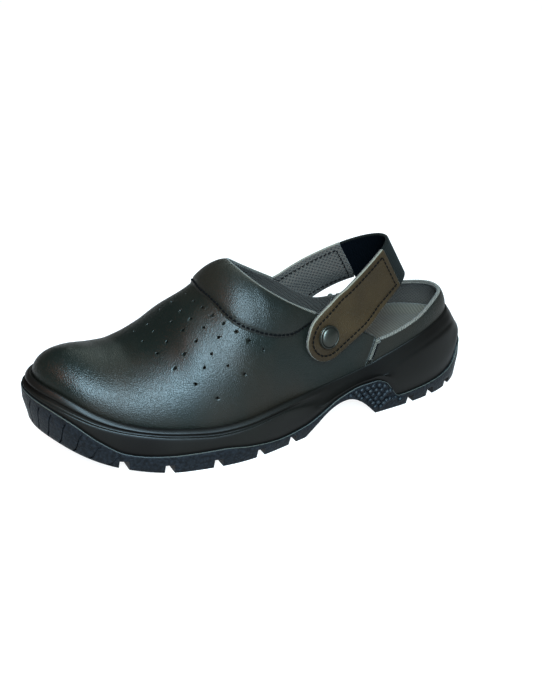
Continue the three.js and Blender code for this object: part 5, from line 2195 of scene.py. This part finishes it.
@dataclass(frozen=True)
class Studio:
    """Pale floor, soft lights and the camera at the photograph's angle."""

    azimuth: float = 155.0
    elevation: float = 27.0
    distance: float = 0.8
    target: tuple[float, float, float] = (0.0, 0.000127, 0.04)
    focal: float = 66.94
    shift: tuple[float, float] = (0.0226, 0.0111)
    sensor: float = 36.0
    tone: float = 0.82
    world_strength: float = 0.12
    floor_reach: float = 6.0
    floor_glow: float = 0.9

    def camera(self) -> None:
        """Places the camera on the line of sight through the target."""
        a, e = math.radians(self.azimuth), math.radians(self.elevation)
        back = Vector((math.sin(a) * math.cos(e), -math.cos(a) * math.cos(e), math.sin(e)))
        data = bpy.data.cameras.new("camera")
        data.lens, data.sensor_width = self.focal, self.sensor
        data.shift_x, data.shift_y = self.shift
        data.clip_start, data.clip_end = 0.01, 50.0
        camera = bpy.data.objects.new("camera", data)
        camera.location = Vector(self.target) + back * self.distance
        camera.rotation_mode = "QUATERNION"
        camera.rotation_quaternion = (-back).to_track_quat("-Z", "Y")
        bpy.context.scene.collection.objects.link(camera)
        bpy.context.scene.camera = camera

    @staticmethod
    def light(name: str, place: tuple, size: tuple[float, float], power: float, colour: str) -> None:
        """Adds a soft rectangular light that faces the shoe.

        Args:
            name: name of the light.
            place: where it stands, in metres.
            size: its sides, in metres.
            power: its power in watts.
            colour: its colour as sRGB hex.
        """
        data = bpy.data.lights.new(name, "AREA")
        data.shape = "RECTANGLE"
        data.size, data.size_y = size
        data.energy = power
        data.color = linear(colour)[:3]
        lamp = bpy.data.objects.new(name, data)
        lamp.location = place
        aim = Vector((0.0, 0.0, 0.04)) - Vector(place)
        lamp.rotation_mode = "QUATERNION"
        lamp.rotation_quaternion = aim.to_track_quat("-Z", "Y")
        bpy.context.scene.collection.objects.link(lamp)

    def build(self) -> None:
        """Adds camera, world, floor and lights."""
        self.camera()
        bpy.context.scene.view_settings.view_transform = "Standard"
        # A product photograph's deep tone curve: darks go down and white stays white
        bpy.context.scene.view_settings.gamma = self.tone
        world = bpy.data.worlds.new("studio")
        world.use_nodes = True
        background = world.node_tree.nodes["Background"]
        background.inputs["Color"].default_value = linear("#f6f7f8")
        background.inputs["Strength"].default_value = self.world_strength
        bpy.context.scene.world = world
        self.light("key_above_camera", (0.23, 0.64, 0.87), (0.55, 0.9), 76.0, "#cdeeff")
        self.light("front_low", (0.3, 1.0, 0.3), (0.5, 0.4), 13.0, "#d0ecff")
        self.light("soft_behind", (-0.57, -0.7, 0.79), (0.8, 0.6), 6.0, "#eaf6f0")
        self.light("warm_front", (0.75, 0.05, 0.85), (0.3, 0.3), 4.5, "#ffa070")
        self.floor()

    def floor(self) -> None:
        """A large pale floor."""
        mesh = bpy.data.meshes.new("floor")
        reach = self.floor_reach
        corners = [(-reach, -reach, 0.0), (reach, -reach, 0.0), (reach, reach, 0.0), (-reach, reach, 0.0)]
        mesh.from_pydata(corners, [], [(0, 1, 2, 3)])
        # Translucent white board lit from below: it stays pale and takes only a soft shadow
        material, _, shader = Finish("floor_white_board", "#6e6e6e", 0.9).start()
        shader.inputs["Specular IOR Level"].default_value = 0.1
        shader.inputs["Emission Color"].default_value = linear("#ffffff")
        shader.inputs["Emission Strength"].default_value = self.floor_glow
        mesh.materials.append(material)
        floor = bpy.data.objects.new("floor", mesh)
        bpy.context.scene.collection.objects.link(floor)


def main() -> None:
    """Builds the sandal's sub-assemblies in order, then the studio."""
    logging.basicConfig(level=logging.INFO, format="%(message)s")
    wardrobe = Wardrobe()
    Sole(wardrobe).build()
    upper = Upper(wardrobe)
    upper.build()
    CollarPad(wardrobe).build(upper)
    HeelStrap(wardrobe).build()
    Studio().build()


if __name__ == "__main__":
    main()
